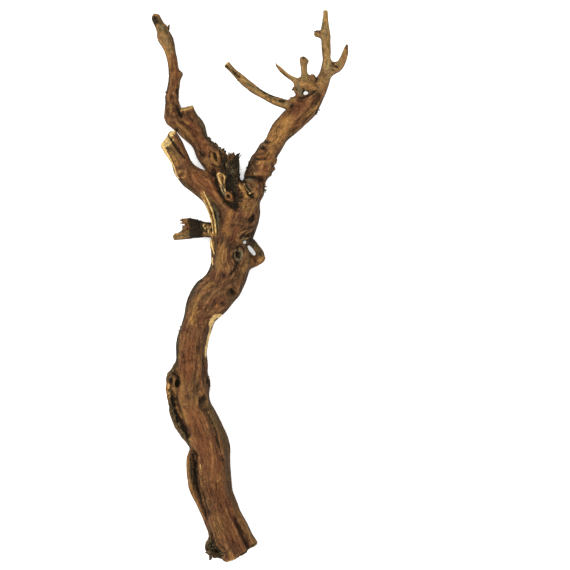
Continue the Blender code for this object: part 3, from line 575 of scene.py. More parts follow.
    ("black", 0.8, 0.55, -0.7, (222.6, 186), (224.4, 193)),
    ("black", 1.0, 1.1, -1.0, (227, 180), (227.6, 186), (227, 191)),
    ("clear", 1.0, 3.8, 1.0, (228.6, 197.4), (229.4, 197.8)),
    ("gold", 0.5, 3.4, 0, (228.6, 197), (229.2, 198)),
    ("red", 0.8, 2.6, 0, (228.6, 197), (229.2, 198)),
    ("red", 0.7, 2.8, 0, (237.4, 177), (238.6, 186)),
    # crown's splinter knot
    ("black", 1.0, 2.6, -2.0, (246, 184.6), (248.6, 189.4), (251, 195)),
    ("black", 0.9, 1.8, -0.8, (251, 196.6), (253.6, 199)),
    ("pale", 0.6, 0.8, 1.0, (244.8, 184.6), (247, 188.4), (249.4, 192.6), (250, 194)),
    ("grey", 0.9, 0.8, 0.9, (247.4, 184.6), (250, 188.6), (251.6, 191.4)),
    ("pale", 0.7, 1.2, 1.0, (249.4, 193.6), (252.8, 192.6)),
    ("black", 1.0, 0.8, -1.2, (250.6, 193.2), (251.2, 193.6)),
    ("pale", 0.6, 0.7, 0.3, (244, 184.8), (244.4, 186.6)),
    ("gold", 1.0, 1.7, 0.5, (240, 185), (243.2, 190.6), (247, 197.4)),
    ("pale", 0.6, 0.8, 0.3, (239.4, 186.6), (241.6, 190)),
    ("gold", 0.6, 1.6, 0.3, (255, 190), (258, 197)),
    ("shade", 0.6, 1.6, -0.3, (243.6, 182), (250, 184), (256, 188)),
    # right arm
    ("grey", 0.95, 1.5, 0.5, (246.4, 180.6), (252, 180.8)),
    ("black", 0.95, 1.5, -1.2, (240.6, 180.4), (246, 177.6), (252, 178)),
    ("shade", 1.0, 2.2, -0.6, (251, 177.4), (258, 179.4), (262, 181)),
    ("black", 0.95, 1.6, 0, (249.6, 161), (248, 170), (246, 177)),
    ("knobbly", 1.0, 4.4, 0, (253.4, 160), (251.6, 168), (251, 176)),
    ("shade", 0.8, 3.4, 0, (253.4, 160), (251.6, 168), (251, 176)),
    ("pale", 0.4, 0.6, 0.4, (254.6, 173.6), (256.4, 176)),
    ("pale", 0.4, 0.5, 0.4, (253, 165.6), (253.6, 167)),
    ("red", 0.5, 7.4, 0.9, (264.6, 170), (265.4, 172.8)),
    ("red", 0.7, 5.2, 0.8, (264.6, 170), (265.4, 172.8)),
    ("red", 0.6, 3.2, 0.5, (264.6, 170), (265.4, 172.8)),
    ("red", 0.3, 3.0, 1.5, (271.4, 168.8), (269.4, 174.4)),
    ("gold", 0.3, 2.4, 1.4, (275.6, 159.6), (274.6, 163.4)),
    ("shade", 0.7, 0.8, -1.2, (271.6, 166.8), (275.6, 165.8)),
    ("deep", 0.9, 6.4, 0, (264.4, 170), (265.4, 172)),
    ("deep", 0.6, 3.4, 0, (258, 155.6), (265, 154.6), (272, 156.6)),
    ("shade", 0.5, 1.4, -0.5, *oval(265, 171, 7.6, 7.6, 0, 100, 170)),
    ("red", 0.45, 4.2, 0.6, (259, 157), (265, 155.4), (271, 158)),
    ("red", 0.5, 2.4, 0.6, (259, 157.2), (265, 155.6), (271, 158.4)),
    ("grey", 0.55, 0.9, 0.4, (252.6, 167), (253.6, 170)),
    ("grey", 0.6, 1.0, 0.3, (255, 174), (256.6, 176)),
    ("black", 0.95, 1.1, -1.2, (255.4, 159.2), (258.6, 160), (262.4, 160)),
    ("shade", 0.6, 1.4, -0.5, (254, 156), (262, 154), (268, 156)),
    ("deep", 1.0, 4.2, 1.2, (260.6, 149), (264, 144.6)),
    ("black", 0.9, 1.4, -0.9, (263.4, 147), (264.6, 151)),
    ("pale", 0.3, 0.6, 0.3, (262.4, 143.6), (263.6, 144.6)),
    ("bark", 0.9, 2.0, 0, (258, 148), (262, 144), (267, 141)),
    ("black", 0.95, 0.8, -0.9, (265.6, 143.6), (268, 142.4), (271, 142.8)),
    ("gold", 0.6, 2.8, 0.2, (270, 146), (272.6, 151), (268, 155)),
    # the orange of the collar, and painted highlight over the top of the ball
    ("gold", 0.4, 1.8, 0.3, (256.6, 165), (262, 162), (270, 161.6), (274, 160)),
    ("gold", 0.8, 1.0, 0.3, (257, 164.8), (262, 162), (268, 161.8)),
    ("gold", 0.75, 6.0, 0, (273, 142), (280, 131), (287, 122)),
    ("red", 0.3, 7.5, 0, (284, 127), (290, 120), (299, 111), (306, 104)),
    ("red", 0.55, 4.0, 0, (283, 117), (291, 109), (301, 101)),
    ("red", 0.5, 3.4, 0, (262, 171), (267, 176)),
    ("olive", 0.6, 1.6, 0, (276, 160), (281, 151), (287, 139), (296, 129)),
    ("shade", 0.5, 1.2, 0, (266, 181), (272, 175), (274, 168)),
    ("black", 0.8, 1.1, -0.3, (263, 184), (264.4, 191)),
    ("shade", 0.5, 2.6, 0, (257, 182), (261, 190), (260, 196)),
    ("black", 0.7, 0.7, -0.3, (277, 116.6), (279, 119)),
    ("gold", 0.5, 1.0, 0.3, (310, 109), (304, 116), (300, 123)),
    ("olive", 0.8, 1.6, 0, (319, 101), (313, 111), (305, 119)),
    ("gold", 0.6, 1.2, 0, (317, 107), (311, 113), (306, 117)),
    ("black", 0.6, 0.7, -0.4, (316, 110), (309, 116), (303, 124)),
    ("shade", 0.6, 1.6, -0.4, (318, 92), (319.6, 98), (316, 104)),
    ("black", 0.9, 1.0, 0, (316, 113), (317.6, 110)),
    ("gold", 0.45, 2.2, 0, (318, 84), (323, 80), (322, 90)),
    ("black", 0.6, 0.9, -0.4, (316.4, 84.6), (317.6, 87)),
    # spur block
    ("gold", 0.5, 4.0, 0, (303, 84), (312, 87)),
    ("red", 0.6, 3.4, 0, (309, 88), (315, 86)),
    ("grey", 1.0, 2.2, 0.2, (299.4, 90), (301.4, 95)),
    ("grey", 0.8, 1.3, 0, (298.6, 84), (298, 90)),
    ("black", 0.95, 1.2, -0.8, (298, 97.6), (303, 98.6), (309, 95.6)),
    ("black", 0.9, 1.0, -0.6, (306.4, 95.4), (312, 94), (316, 91)),
    ("shade", 0.8, 1.6, -0.4, (303.6, 89), (303.8, 92)),
    ("olive", 1.0, 1.6, 0.4, (293.6, 86.6), (296, 88)),
    ("olive", 1.0, 1.6, 0.4, (293.8, 90.6), (296.4, 92)),
    ("black", 0.9, 0.7, -0.6, (295.6, 88.6), (297, 91)),
    ("olive", 0.9, 2.2, 0, (291.6, 99), (295, 101)),
    ("shade", 0.9, 1.4, -0.4, (298, 101), (303, 101.6)),
    ("black", 0.9, 1.6, -0.8, (290.6, 107), (292.4, 106)),
    ("olive", 0.6, 2.6, 0, (304.6, 79), (304, 70), (303.4, 62)),
    ("black", 0.8, 1.6, 0, (302, 57.6), (304, 59.6)),
    ("shade", 0.9, 1.0, -0.4, (302.6, 81), (306.6, 81.4)),
    ("black", 0.85, 1.6, 0, (316, 77), (315.6, 82)),
    ("deep", 0.9, 1.8, 0, (311.6, 80), (313, 77)),
    ("pale", 0.55, 1.0, 0, (275, 64.6), (278.6, 66)),
    ("gold", 0.4, 1.2, 0, (280, 68), (286, 73.6), (293, 78)),
    # soft shade over the left cane and the crown
    ("shade", 0.18, 7, 0, (175, 112), (174.6, 84), (170, 52)),
    ("shade", 0.2, 12, 0, (241, 206), (234, 220), (226, 236)),
    # under the thin shoot
    ("shade", 0.8, 0.8, -0.2, (280, 71), (286, 76), (294, 80.6)),
    # long cane
    ("olive", 0.55, 2.4, 0, (226, 66), (245, 84), (262, 96), (282, 105)),
    ("black", 0.7, 1.5, -0.2, (226, 66.4), (233, 72.6), (240, 78.6)),
    ("black", 0.7, 1.3, -0.2, (257, 89), (266, 93.6), (278, 98.6)),
    ("black", 0.95, 1.6, -0.4, (279, 101.4), (285, 101.6)),
    ("shade", 0.7, 1.2, -0.3, (244, 84.6), (250, 86), (254, 88)),
    ("gold", 0.5, 1.2, 0.1, (236, 74), (246, 81.6)),
    ("gold", 0.5, 1.2, 0.1, (256, 93), (268, 99.6), (282, 106)),
    ("shade", 0.6, 1.4, -0.2, (270, 98), (276, 101)),
    # top cane and hook
    ("gold", 0.55, 2.4, 0, (325.6, 14), (326.2, 26)),
    ("gold", 0.5, 2.2, 0, (326, 42), (326.6, 56), (325.6, 68)),
    ("olive", 0.6, 2.6, 0, (327, 34), (327, 48), (326, 62)),
    ("shade", 0.7, 1.0, 0, (323, 24), (323, 30)),
    ("shade", 0.6, 1.0, 0, (323.4, 44), (323.6, 58), (321.6, 70)),
    ("black", 0.85, 1.0, -0.7, (319, 32.4), (319.6, 34)),
    ("black", 0.85, 0.9, -0.6, (322.4, 34.4), (323, 35)),
    ("pale", 0.7, 0.8, 0, (321, 33), (321.6, 33.4)),
    ("olive", 0.9, 1.8, 0, (314.6, 35), (317, 36)),
    ("black", 0.8, 1.0, -0.4, (315.4, 32.4), (317, 32.6)),
    ("black", 0.8, 1.1, -0.5, (332, 63), (334, 66)),
    ("black", 0.85, 1.0, -0.7, (335.6, 66.6), (337.4, 68)),
    ("black", 0.6, 0.7, -0.4, (331, 70), (335, 72)),
    ("gold", 0.8, 1.0, 0, (334.4, 65), (336, 65.6)),
    ("gold", 0.6, 1.6, 0, (338, 71), (344, 66)),
    ("gold", 0.5, 1.2, 0, (343.6, 54), (345, 50)),
    ("red", 0.5, 2.4, 0, (343.6, 62), (346, 54)),
    # upper left cane
    ("black", 0.9, 2.8, 0, (153.6, 17.6), (156, 21.6)),
    ("gold", 0.7, 1.6, 0, (153.6, 14), (157, 14)),
    ("olive", 0.95, 3.4, 0, (160, 20), (162.6, 27), (166, 33), (170, 40)),
    ("grey", 0.5, 2.2, 0, (160, 25), (163, 29)),
    ("grey", 0.4, 3.0, 0, (165, 37), (168, 43)),
    ("olive", 1.0, 1.4, 0, (164.6, 28), (166, 25)),
    ("shade", 0.9, 1.2, -0.3, (170, 33), (172.6, 39), (173.4, 50)),
    ("gold", 0.8, 1.6, 0, (160, 41), (163.6, 46.6), (166.6, 50)),
    ("gold", 0.6, 1.6, 0, (166.6, 50), (168.4, 58), (169.6, 66)),
    ("red", 0.8, 3.2, 0, (172, 56), (174.6, 66), (175, 82)),
    ("red", 0.6, 3.2, 0, (174, 88), (173, 100)),
    ("shade", 0.5, 3.6, 0, (172.6, 97), (172, 106)),
    ("shade", 0.7, 1.0, -0.2, (172.4, 54), (171.4, 60), (172, 68)),
    ("shade", 0.7, 1.1, 0, (169.4, 66), (169.6, 82), (167.4, 92)),
    ("olive", 0.9, 0.9, 0, (179, 80), (179, 104)),
    ("olive", 0.95, 1.8, 0, (180.6, 72), (181.4, 76)),
    ("black", 0.75, 1.1, -0.4, (178, 69), (179.4, 72)),
    # painted highlight
    ("pale", 0.55, 0.8, 0, (173, 92), (173.4, 94)),
    ("gold", 1.0, 1.4, 0.2, (170, 103.6), (171.4, 111)),
    ("black", 0.9, 1.8, -0.8, (177, 106), (178.6, 112)),
    ("black", 1.0, 2.2, -1.4, (178.6, 112), (181, 116)),
    ("shade", 0.7, 2.0, 0, (167, 108), (168, 116)),
    # upper left arm
    ("gold", 1.0, 1.3, 0, (181.6, 109.6), (187, 107.6), (193, 106.6)),
    ("pale", 0.8, 0.9, 0, (189.6, 107), (192, 106.6)),
    ("shade", 0.6, 0.9, -0.6, (184, 115), (188, 120)),
    ("bark", 0.9, 2.4, 0.1, (196, 111), (201, 120), (204.4, 131), (209, 140)),
    ("shade", 0.55, 3.0, 0, (192, 113), (199, 126), (204, 137)),
    ("bark", 0.9, 2.4, 0.2, (209, 140), (216, 146), (223, 151)),
    ("gold", 0.45, 2.6, 0.2, (178, 126), (186, 131), (192, 140)),
    ("gold", 0.4, 1.6, 0.3, (181, 120), (188, 124)),
    ("shade", 0.5, 1.4, -0.2, (196, 140), (201, 149), (206, 156)),
    ("black", 0.6, 2.0, -0.8, (199.6, 152), (203.6, 156)),
    ("red", 0.6, 5.6, 0, (190, 124), (200, 140), (209, 152)),
    ("shade", 0.6, 1.4, 0, (185, 136), (193, 145), (198, 157), (205, 166)),
    ("black", 0.9, 1.6, -0.6, (175.6, 129), (177, 131)),
    ("black", 0.8, 1.2, -1.6, (214, 153), (216.4, 159)),
    ("gold", 1.0, 1.1, 0.7, (211.4, 154.4), (213.6, 158), (216, 162.6)),
    ("gold", 1.0, 1.1, 0.7, (217.4, 151.6), (218, 156.6), (218.6, 161.6)),
    ("gold", 0.8, 1.8, 0.2, (212.6, 156), (216, 162), (218, 162)),
    ("black", 0.85, 1.4, -0.6, (219.6, 151), (221.6, 157), (222.4, 163)),
    ("black", 0.7, 1.0, -0.5, (209.6, 152.6), (209.6, 158)),
    ("black", 0.6, 0.9, -0.4, (212, 164.6), (217, 166.4), (222, 167)),
    ("gold", 0.4, 2.6, 0, (206, 161), (211, 167)),
    ("shade", 0.7, 2.4, 0, (222, 153), (226, 160)),
    # low stub
    ("black", 1.2, 6.8, 0, (195, 221), (197, 229), (196, 234)),
    ("gold", 0.6, 2.2, 0.2, (188, 231), (182, 234)),
    ("red", 0.8, 2.2, 0, (189, 223), (187, 229)),
    ("gold", 0.8, 1.8, 0, (187, 221.6), (182, 219.6)),
    ("pale", 0.5, 0.9, 0, (175, 238), (182, 236.8)),
    ("red", 0.7, 1.6, 0, (190, 226), (190.6, 231)),
    ("olive", 0.7, 1.8, 0, (176, 237.6), (184, 237)),
    ("pale", 0.6, 0.8, 0.4, (174.6, 233.6), (179, 233.4)),
    ("black", 0.5, 0.8, -0.5, (190, 232), (183, 235), (178, 236)),
    ("shade", 0.7, 1.6, 0, (189, 229), (180, 233.4)),
    ("pale", 0.95, 0.9, 0.9, (205.6, 223.4), (202.6, 225.4), (204.6, 228.6), (208, 227.4)),
    # saw ends of the fork and the upper stub
    ("pale", 0.8, 2.2, 0, (164, 145.6), (167.4, 141.4)),
    ("pale", 0.8, 2.6, 0, (171.6, 137), (175, 132.4)),
    ("gold", 1.0, 2.4, 0, (181.6, 109.8), (187, 107.8), (193.4, 106)),
    # root of the low stub
    ("pale", 0.6, 0.8, 0.8, (207.6, 235.4), (208.6, 230.6), (211.4, 226.4)),
    ("gold", 0.8, 1.4, 0.6, (209.8, 231.6), (212, 236.4)),
    ("red", 1.0, 1.5, 0.6, (204.4, 232.4), (206.2, 233.4)),
    ("black", 0.8, 0.9, -0.8, (207, 224), (206.4, 229.6), (207.2, 234)),
    ("gold", 0.8, 1.6, 0, (205, 224), (209, 226)),
    ("black", 0.95, 1.1, -1.2, (211.2, 228), (212, 232)),
    ("black", 0.8, 1.0, -1.0, (204, 229.6), (206.6, 233)),
    ("black", 0.7, 1.0, -0.4, (205, 223), (210, 223.4)),
]

# The same, for edges that run clean.
steadyMarks = [
    ("gold", 1.0, 2.1, 0.2, (202.4, 194.4), (207, 203), (211, 214), (213.6, 224), (214.4, 235)),
    ("pale", 0.9, 1.0, 0.6, (204.4, 192.6), (209, 203), (213.2, 212.4), (215.4, 222), (216.2, 233)),
    ("pale", 0.7, 0.8, 0, (202.4, 197), (206.2, 205), (209.9, 215.4), (212.2, 223), (213.2, 234)),
    ("shade", 1.0, 0.6, -0.8, (206, 199), (209.4, 207), (212.1, 215.4), (213.8, 223), (214.6, 235)),
    ("red", 0.9, 0.9, 0, (206, 199), (209.4, 207), (212.1, 215.4), (213.8, 223)),
    ("black", 0.8, 0.8, -0.8, (215.4, 212), (217.2, 222), (217.8, 236)),
    ("pale", 0.8, 1.2, 0.9, (221.4, 184.6), (219.4, 181), (217.8, 177), (218.2, 174.6), (220, 173.2),
     (221.8, 174)),
    ("pale", 0.6, 0.95, 0.7, (220.6, 173.4), (223.4, 174.8), (225.2, 177.8), (225.2, 181), (224.4, 184.4)),
    ("gold", 0.7, 1.0, 0.2, (223.4, 175), (225.2, 178), (225.4, 182), (226, 187)),
    ("clear", 1.0, 4.8, 0.6, (228.8, 197), (229.2, 197.4)),
    ("red", 1.0, 1.7, 0.8, *oval(229, 197.2, 2.9, 3.0, 0, -180, 180, 16)),
    ("gold", 0.8, 1.0, 0.5, *oval(229, 197.2, 3.1, 3.2, 0, -230, 100, 16)),
    ("black", 1.0, 1.5, -2.0, (228, 196.2), (229.8, 198.4)),
    ("black", 0.8, 1.3, 0, (233.4, 559.4), (243, 552.8), (255.4, 543.6)),
    ("black", 0.5, 0.8, -0.8, (186, 111), (190, 116), (193.4, 123)),
    ("black", 0.6, 0.6, -0.7, (182.6, 121), (187, 128), (191, 132.6), (195, 136.6)),
    ("shade", 0.7, 0.6, -0.5, (187.6, 125), (191, 129), (197, 134)),
    ("shade", 0.6, 0.6, -0.5, (197, 141), (201, 149), (206, 157)),
    ("black", 1.2, 1.2, -1.2, (169, 136.6), (171.6, 140), (175.6, 146.6), (180.6, 153.6), (185.4, 159.4)),
    ("black", 0.45, 0.6, 0, (164.4, 142.4), (167.6, 145.6)),
    ("black", 0.4, 0.6, 0, (172.6, 133.4), (175, 137)),
]

toneLayers = {  # the skin carries its tones three to a layer
    "toneA": ("black", "pale", "bark"),
    "toneB": ("gold", "red", "olive"),
    # the shade tone is painted shade
    "toneC": ("shade", "cut", "grey"),
    "toneD": ("straw", "deep", "knobbly"),
}

markEdge = {
    "wobble": 0.75,
    "wobbleSize": 4.2,
    "jitter": 0.4,
    "jitterSize": 1.7,
    "steadyShare": 0.2,  # how much of that a clean edge keeps
    "patchiness": 0.5,
    "patchSize": 2.6,
    "reach": 2.6,  # how many half widths from its course a mark is worked out
    "hardness": 2.4,
    "paintFade": 0.69,
    "taper": 0.45,
    "wideTaper": 0.2,
    "wide": 2.5,
    "thin": 0.72,
    "thinBelow": 2.8,
    "raised": 0.25,  # what stands out more than this lies over the dark
    # a halo of painted shade round black marks: its width, then its strength
    "halo": 2.1,
    "haloStrength": 0.55,
    "above": (2.2, 0.55),  # marks lie on what looks up: how fast they fade on a slope, and where
}


def distanceToCourse(spots, course):
    # Distance from each spot to the line, and how far along it the nearest point is, 0 to 1.
    nearest = np.full(len(spots), np.inf)
    along = np.zeros(len(spots))
    runs = np.diff(course, axis=0)
    lengths = np.linalg.norm(runs, axis=1)
    done = 0.0
    for start, run, length in zip(course, runs, lengths):
        share = np.clip((spots - start) @ run / max(run @ run, 1e-9), 0, 1)
        distance = np.linalg.norm(spots - start - share[:, None] * run, axis=1)
        closer = distance < nearest
        nearest[closer] = distance[closer]
        along[closer] = (done + share * length)[closer]
        done += length
    return nearest, along / max(done, 1e-9)


def clouds(points, size, shift=0.0):
    return np.array([noise.noise(spot) for spot in (points / np.array(size) + shift).tolist()])


def grainClouds(grain, share, width, length, shift=0.0):
    made = np.zeros(share.shape[1])
    for slot in range(3):
        some = share[slot] > 0.03
        made[some] += share[slot][some] * clouds(grain[slot][some], (width, width, length), shift)
    return made


def layMarks(points, normals):
    # What the marks add to the relief, and how strongly each tone shows.
    relief = np.zeros(len(points))
    paint = {tone: np.zeros(len(points)) for group in toneLayers.values() for tone in group}
    slope, level = markEdge["above"]
    above = np.clip(normals[:, 2] * slope + level, 0, 1)
    drift = np.zeros((len(points), 2))
    for axis in range(2):
        drift[:, axis] += clouds(points, markEdge["wobbleSize"], 11.3 + axis * 7) * markEdge["wobble"]
        drift[:, axis] += clouds(points, markEdge["jitterSize"], 31.3 + axis * 9) * markEdge["jitter"]
    patchy = 1 + clouds(points, markEdge["patchSize"], 51.7) * markEdge["patchiness"]
    for order, (tone, strength, halfWidth, height, *course) in enumerate(marks + steadyMarks):
        spots = points[:, :2] + drift * (1 if order < len(marks) else markEdge["steadyShare"])
        course = flatPlace(course)
        reach = halfWidth * markEdge["reach"]
        low, high = course.min(0) - reach, course.max(0) + reach
        near = np.where(((spots > low) & (spots < high)).all(1) & (above > 0))[0]
        away, along = distanceToCourse(spots[near], course)
        taper = markEdge["taper"] if halfWidth < markEdge["wide"] else markEdge["wideTaper"]
        thin = markEdge["thin"] if tone in ("black", "pale") and halfWidth < markEdge["thinBelow"] else 1
        away /= halfWidth * thin * (1 - taper + taper * np.sin(np.pi * np.clip(along, 0.02, 0.98)) ** 0.5)
        fade = away ** markEdge["hardness"]
        if height:
            relief[near] += np.exp(-fade) * height * above[near]
        shown = strength * np.exp(-markEdge["paintFade"] * fade) * above[near] * patchy[near]
        if height > markEdge["raised"] or tone == "clear":
            for dark in {"black", "shade", "bark"} - {tone}:
                paint[dark][near] *= 1 - np.clip(shown, 0, 1)
        if tone == "clear":
            continue
        paint[tone][near] = np.maximum(paint[tone][near], shown)
        # round each black mark lies a halo of painted shade
        if tone == "black":
            around = np.exp(-((away / markEdge["halo"]) ** 2))
            halo = strength * markEdge["haloStrength"] * around * above[near]
            paint["shade"][near] = np.maximum(paint["shade"][near], halo)
    return relief, paint


skin = {
    "voxel": 0.95 * mm,
    "facetPasses": 16,
    "firstFade": (0.4, 1.5),  # no relief up to this height over the ground, all of it this much higher
    "lastFade": (0.3, 1.2),
    "lumps": (13, 0.65),  # size, height
    "knobs": (5.0, 2.3),
    "creases": (5.6, 0.12, 0.3),  # size, narrowness, depth
    "flutes": (8.5, 70, 0.7),  # width, length, height
    "ribs": (3.0, 34, 0.36),
    "cracks": (5.6, 55, 0.1, 0.5),  # width and length of the figure, narrowness, depth
    "crackedPlaces": (11, 34),
    "knotRings": (3.3, 0.1),  # how close, how high
    "barkPatches": (13, 6, 22),  # size, and width and length along the limb
    "barkShare": (0.75, 0.9, -0.12),  # from facing down, from the patches, to begin with
    "barkPlates": (2.6, 11, 3.2, 0.42),  # width, length, narrowness and depth of the cracks between
    "barkThick": 0.25,
    "hollows": {"nearPasses": 5, "widePasses": 60, "near": 0.2, "wide": 1.1},
    "sides": {"passes": 10, "start": 0.66, "run": 0.62},
    "thinBelow": -0.05,  # faces that look down more than this are thinned
    "keptShare": 0.69,
    "cuts": {  # a point on each sawn face, the way it faces, half width, half height, how deep it may shave
        "foot": ((241.8, 552.8, 20), (0.48, 0.88, -0.12), 35, 35, 1.2),
        "forkOuter": ((165.6, 143.6, 45), (-0.62, -0.66, 0.42), 7.6, 17, 1.2),
        "forkInner": ((175.0, 131.4, 46), (-0.42, -0.8, 0.42), 6.6, 17, 1.2),
        "upperStub": ((188.2, 107.4, 17), (-0.27, -0.92, 0.3), 7.4, 12, 1.2),
        "longCane": ((226.4, 64.9, 36), (-0.74, -0.66, 0.12), 8, 10, 1.2),
        "topCane": ((325.4, 10.8, 28), (0, -1, 0.05), 7, 7, 1.2),
    },
    "sawRim": {"beside": 0.6, "short": 0.5, "wide": 1.6, "strength": 1.45, "fade": 0.8},
    "holes": {  # right through: x, y, half width, half length, turn
        "curlGap": (244.8, 242.4, 1.8, 2.4, 25),
        "loopGap": (251.4, 250.2, 2.1, 6.9, -37),
        "spurGap": (306, 93, 1.9, 2.9, 68),
        "sideLoopGap": (207.5, 381.2, 1.1, 1.9, 0),
        "footGap": (223.2, 554.6, 1.3, 1.1, 0),
        "stubNotch": (181.6, 224.4, 3.8, 1.5, 14),
        "lowStubNotch": (178.8, 229.8, 3.6, 1.3, -12),
    },
    "split": {"mouth": (169.2, 136.0, 60), "root": (187, 161.6, 60), "gap": 2.0, "deep": 34, "closing": 0.7},
    "strands": {  # thickens what is too thin: x, y, height, radius
        "loopCane": [(251.8, 239.6, 15, 3.0), (256.4, 246.4, 14.6, 3.0), (260.8, 253.6, 15, 3.4)],
        "loopFoot": [(245.2, 249.4, 18, 3.4), (249.8, 254.4, 17, 3.2), (253.4, 258.8, 16, 3.0)],
    },
}


def readVectors(mesh, name):
    values = np.empty(len(mesh.vertices) * 3)
    mesh.vertices.foreach_get(name, values)
    return values.reshape(-1, 3)


def readPoints(mesh):
    return readVectors(mesh, "co") / mm


def readNormals(mesh):
    return readVectors(mesh, "normal")


def writePoints(mesh, points):
    mesh.vertices.foreach_set("co", (points * mm).ravel())
    mesh.update()


def modified(holder):
    # The mesh as the object's modifiers make it.
    bpy.context.view_layer.update()
    return bpy.data.meshes.new_from_object(holder.evaluated_get(bpy.context.evaluated_depsgraph_get()))


def remeshed(mesh, size):
    holder = addObject("holder", mesh)
    remesh = holder.modifiers.new("Remesh", "REMESH")
    remesh.mode = "VOXEL"
    remesh.voxel_size = size
    made = modified(holder)
    bpy.data.objects.remove(holder)
    return made


class Neighbours:
    # Averages a value over the points next to each point of a mesh.
    def __init__(self, mesh):
        edges = np.empty(len(mesh.edges) * 2, np.int32)
        mesh.edges.foreach_get("vertices", edges)
        self.one, self.other = edges.reshape(-1, 2).T
        self.count = len(mesh.vertices)
        self.degree = np.bincount(edges, minlength=self.count)

    def mean(self, values):
        made = np.empty_like(values)
        for axis in range(values.shape[1]):
            column = values[:, axis]
            total = np.bincount(self.one, column[self.other], self.count)
            total += np.bincount(self.other, column[self.one], self.count)
            made[:, axis] = total / self.degree
        return made

    def smooth(self, values, passes, share=0.5):
        for _ in range(passes):
            values = values + share * (self.mean(values) - values)
        return values

    def smoothKeepingSize(self, values, passes):
        for _ in range(passes):
            values = self.smooth(values, 1, 0.55)
            values = self.smooth(values, 1, -0.57)
        return values


def awayFrom(facing):
    # The way a sawn face looks, and the turn that brings the second axis there.
    right, down, up = facing
    away = Vector((right, -down, up)).normalized()
    return away, away.to_track_quat("Y", "Z").to_matrix()


def sawnFaces(points):
    # Points beyond a saw cut, or a fraction of a millimetre short of it, go onto it; gives the cut mask.
    cut = np.zeros(len(points))
    rimmed = skin["sawRim"]
    for spot, facing, halfWidth, halfHeight, deepest in skin["cuts"].values():
        away, turn = awayFrom(facing)
        local = (points - np.array(place(*spot))) @ np.array(turn)
        inside = (np.abs(local[:, 0]) < halfWidth + rimmed["beside"]) & (np.abs(local[:, 2]) < halfHeight)
        face = inside & (local[:, 1] > -rimmed["short"]) & (local[:, 1] < deepest)
        points[face] -= local[face, 1][:, None] * np.array(away)
        cut[face] = 1
        rim = inside & (local[:, 1] <= -rimmed["short"]) & (local[:, 1] > -rimmed["wide"])
        cut[rim] = np.maximum(cut[rim], rimmed["strength"] + local[rim, 1] * rimmed["fade"])
    return np.clip(cut, 0, 1)


def addBlock(shape, middle, size, turn):
    made = bmesh.ops.create_cube(shape, size=1)
    bmesh.ops.scale(shape, vec=Vector(size) * mm, verts=made["verts"])
    bmesh.ops.rotate(shape, matrix=turn, verts=made["verts"])
    bmesh.ops.translate(shape, vec=Vector(middle) * mm, verts=made["verts"])
    return made["verts"]


def sawBlocks():
    for spot, facing, halfWidth, halfHeight, _ in skin["cuts"].values():
        away, turn = awayFrom(facing)
        block = bmesh.new()
        addBlock(block, place(*spot) + away * 10, (halfWidth * 2, 20, halfHeight * 2), turn)
        yield block


def splitWedge():
    split = skin["split"]
    mouth, root = place(*split["mouth"]), place(*split["root"])
    wedge = bmesh.new()
    turn = (mouth - root).to_track_quat("X", "Z").to_matrix()
    corners = addBlock(wedge, (mouth + root) / 2, ((mouth - root).length, split["gap"], split["deep"]), turn)
    for corner in corners:
        if (corner.co / mm - mouth).length > (corner.co / mm - root).length:
            middle = root * mm + Vector((0, 0, corner.co.z - root.z * mm))
            corner.co = corner.co.lerp(middle, split["closing"])
    return wedge


def holeBores():
    for x, y, halfWidth, halfLength, turn in skin["holes"].values():
        bore = bmesh.new()
        bmesh.ops.create_cone(bore, cap_ends=True, segments=12, radius1=mm, radius2=mm, depth=0.2)
        bmesh.ops.scale(bore, vec=(halfWidth, halfLength, 1), verts=bore.verts)
        bmesh.ops.rotate(bore, matrix=Matrix.Rotation(math.radians(-turn), 3, "Z"), verts=bore.verts)
        bmesh.ops.translate(bore, vec=place(x, y) * mm, verts=bore.verts)
        yield bore


def cutAway(mesh):
    # Sawn ends, the split in the left fork and the small gaps where daylight shows through.
    holder = addObject("holder", mesh)
    used = [holder]
    for tool in [*sawBlocks(), splitWedge(), *holeBores()]:
        bmesh.ops.recalc_face_normals(tool, faces=tool.faces)
        toolMesh = bpy.data.meshes.new("tool")
        tool.to_mesh(toolMesh)
        tool.free()
        used.append(addObject("tool", toolMesh))
        cutter = holder.modifiers.new("Cut", "BOOLEAN")
        cutter.operation = "DIFFERENCE"
        cutter.object = used[-1]
        cutter.solver = "MANIFOLD"
    made = modified(holder)
    print("grapevine wood: cut,", len(mesh.vertices), "to", len(made.vertices), "points")
    for spent in used:
        bpy.data.objects.remove(spent)
    return made


def addStrands(shape):
    # Short lengths of round wood, which the remesh melts into the rest.
    for course in skin["strands"].values():
        for (x0, y0, z0, r0), (x1, y1, z1, r1) in zip(course, course[1:]):
            start, end = place(x0, y0, z0) * mm, place(x1, y1, z1) * mm
            turn = (end - start).to_track_quat("Z", "Y").to_matrix().to_4x4()
            bmesh.ops.create_cone(
                shape, cap_ends=True, segments=14, radius1=r0 * mm, radius2=r1 * mm,
                depth=(end - start).length, matrix=Matrix.Translation((start + end) / 2) @ turn,
            )
            bmesh.ops.create_icosphere(shape, subdivisions=2, radius=r1 * mm, matrix=Matrix.Translation(end))


def overGround(points, fade):
    # How much of the relief shows at each point; the faces that the piece lies on stay flat.
    start, run = fade
    return np.clip((points[:, 2] - start) / run, 0, 1)


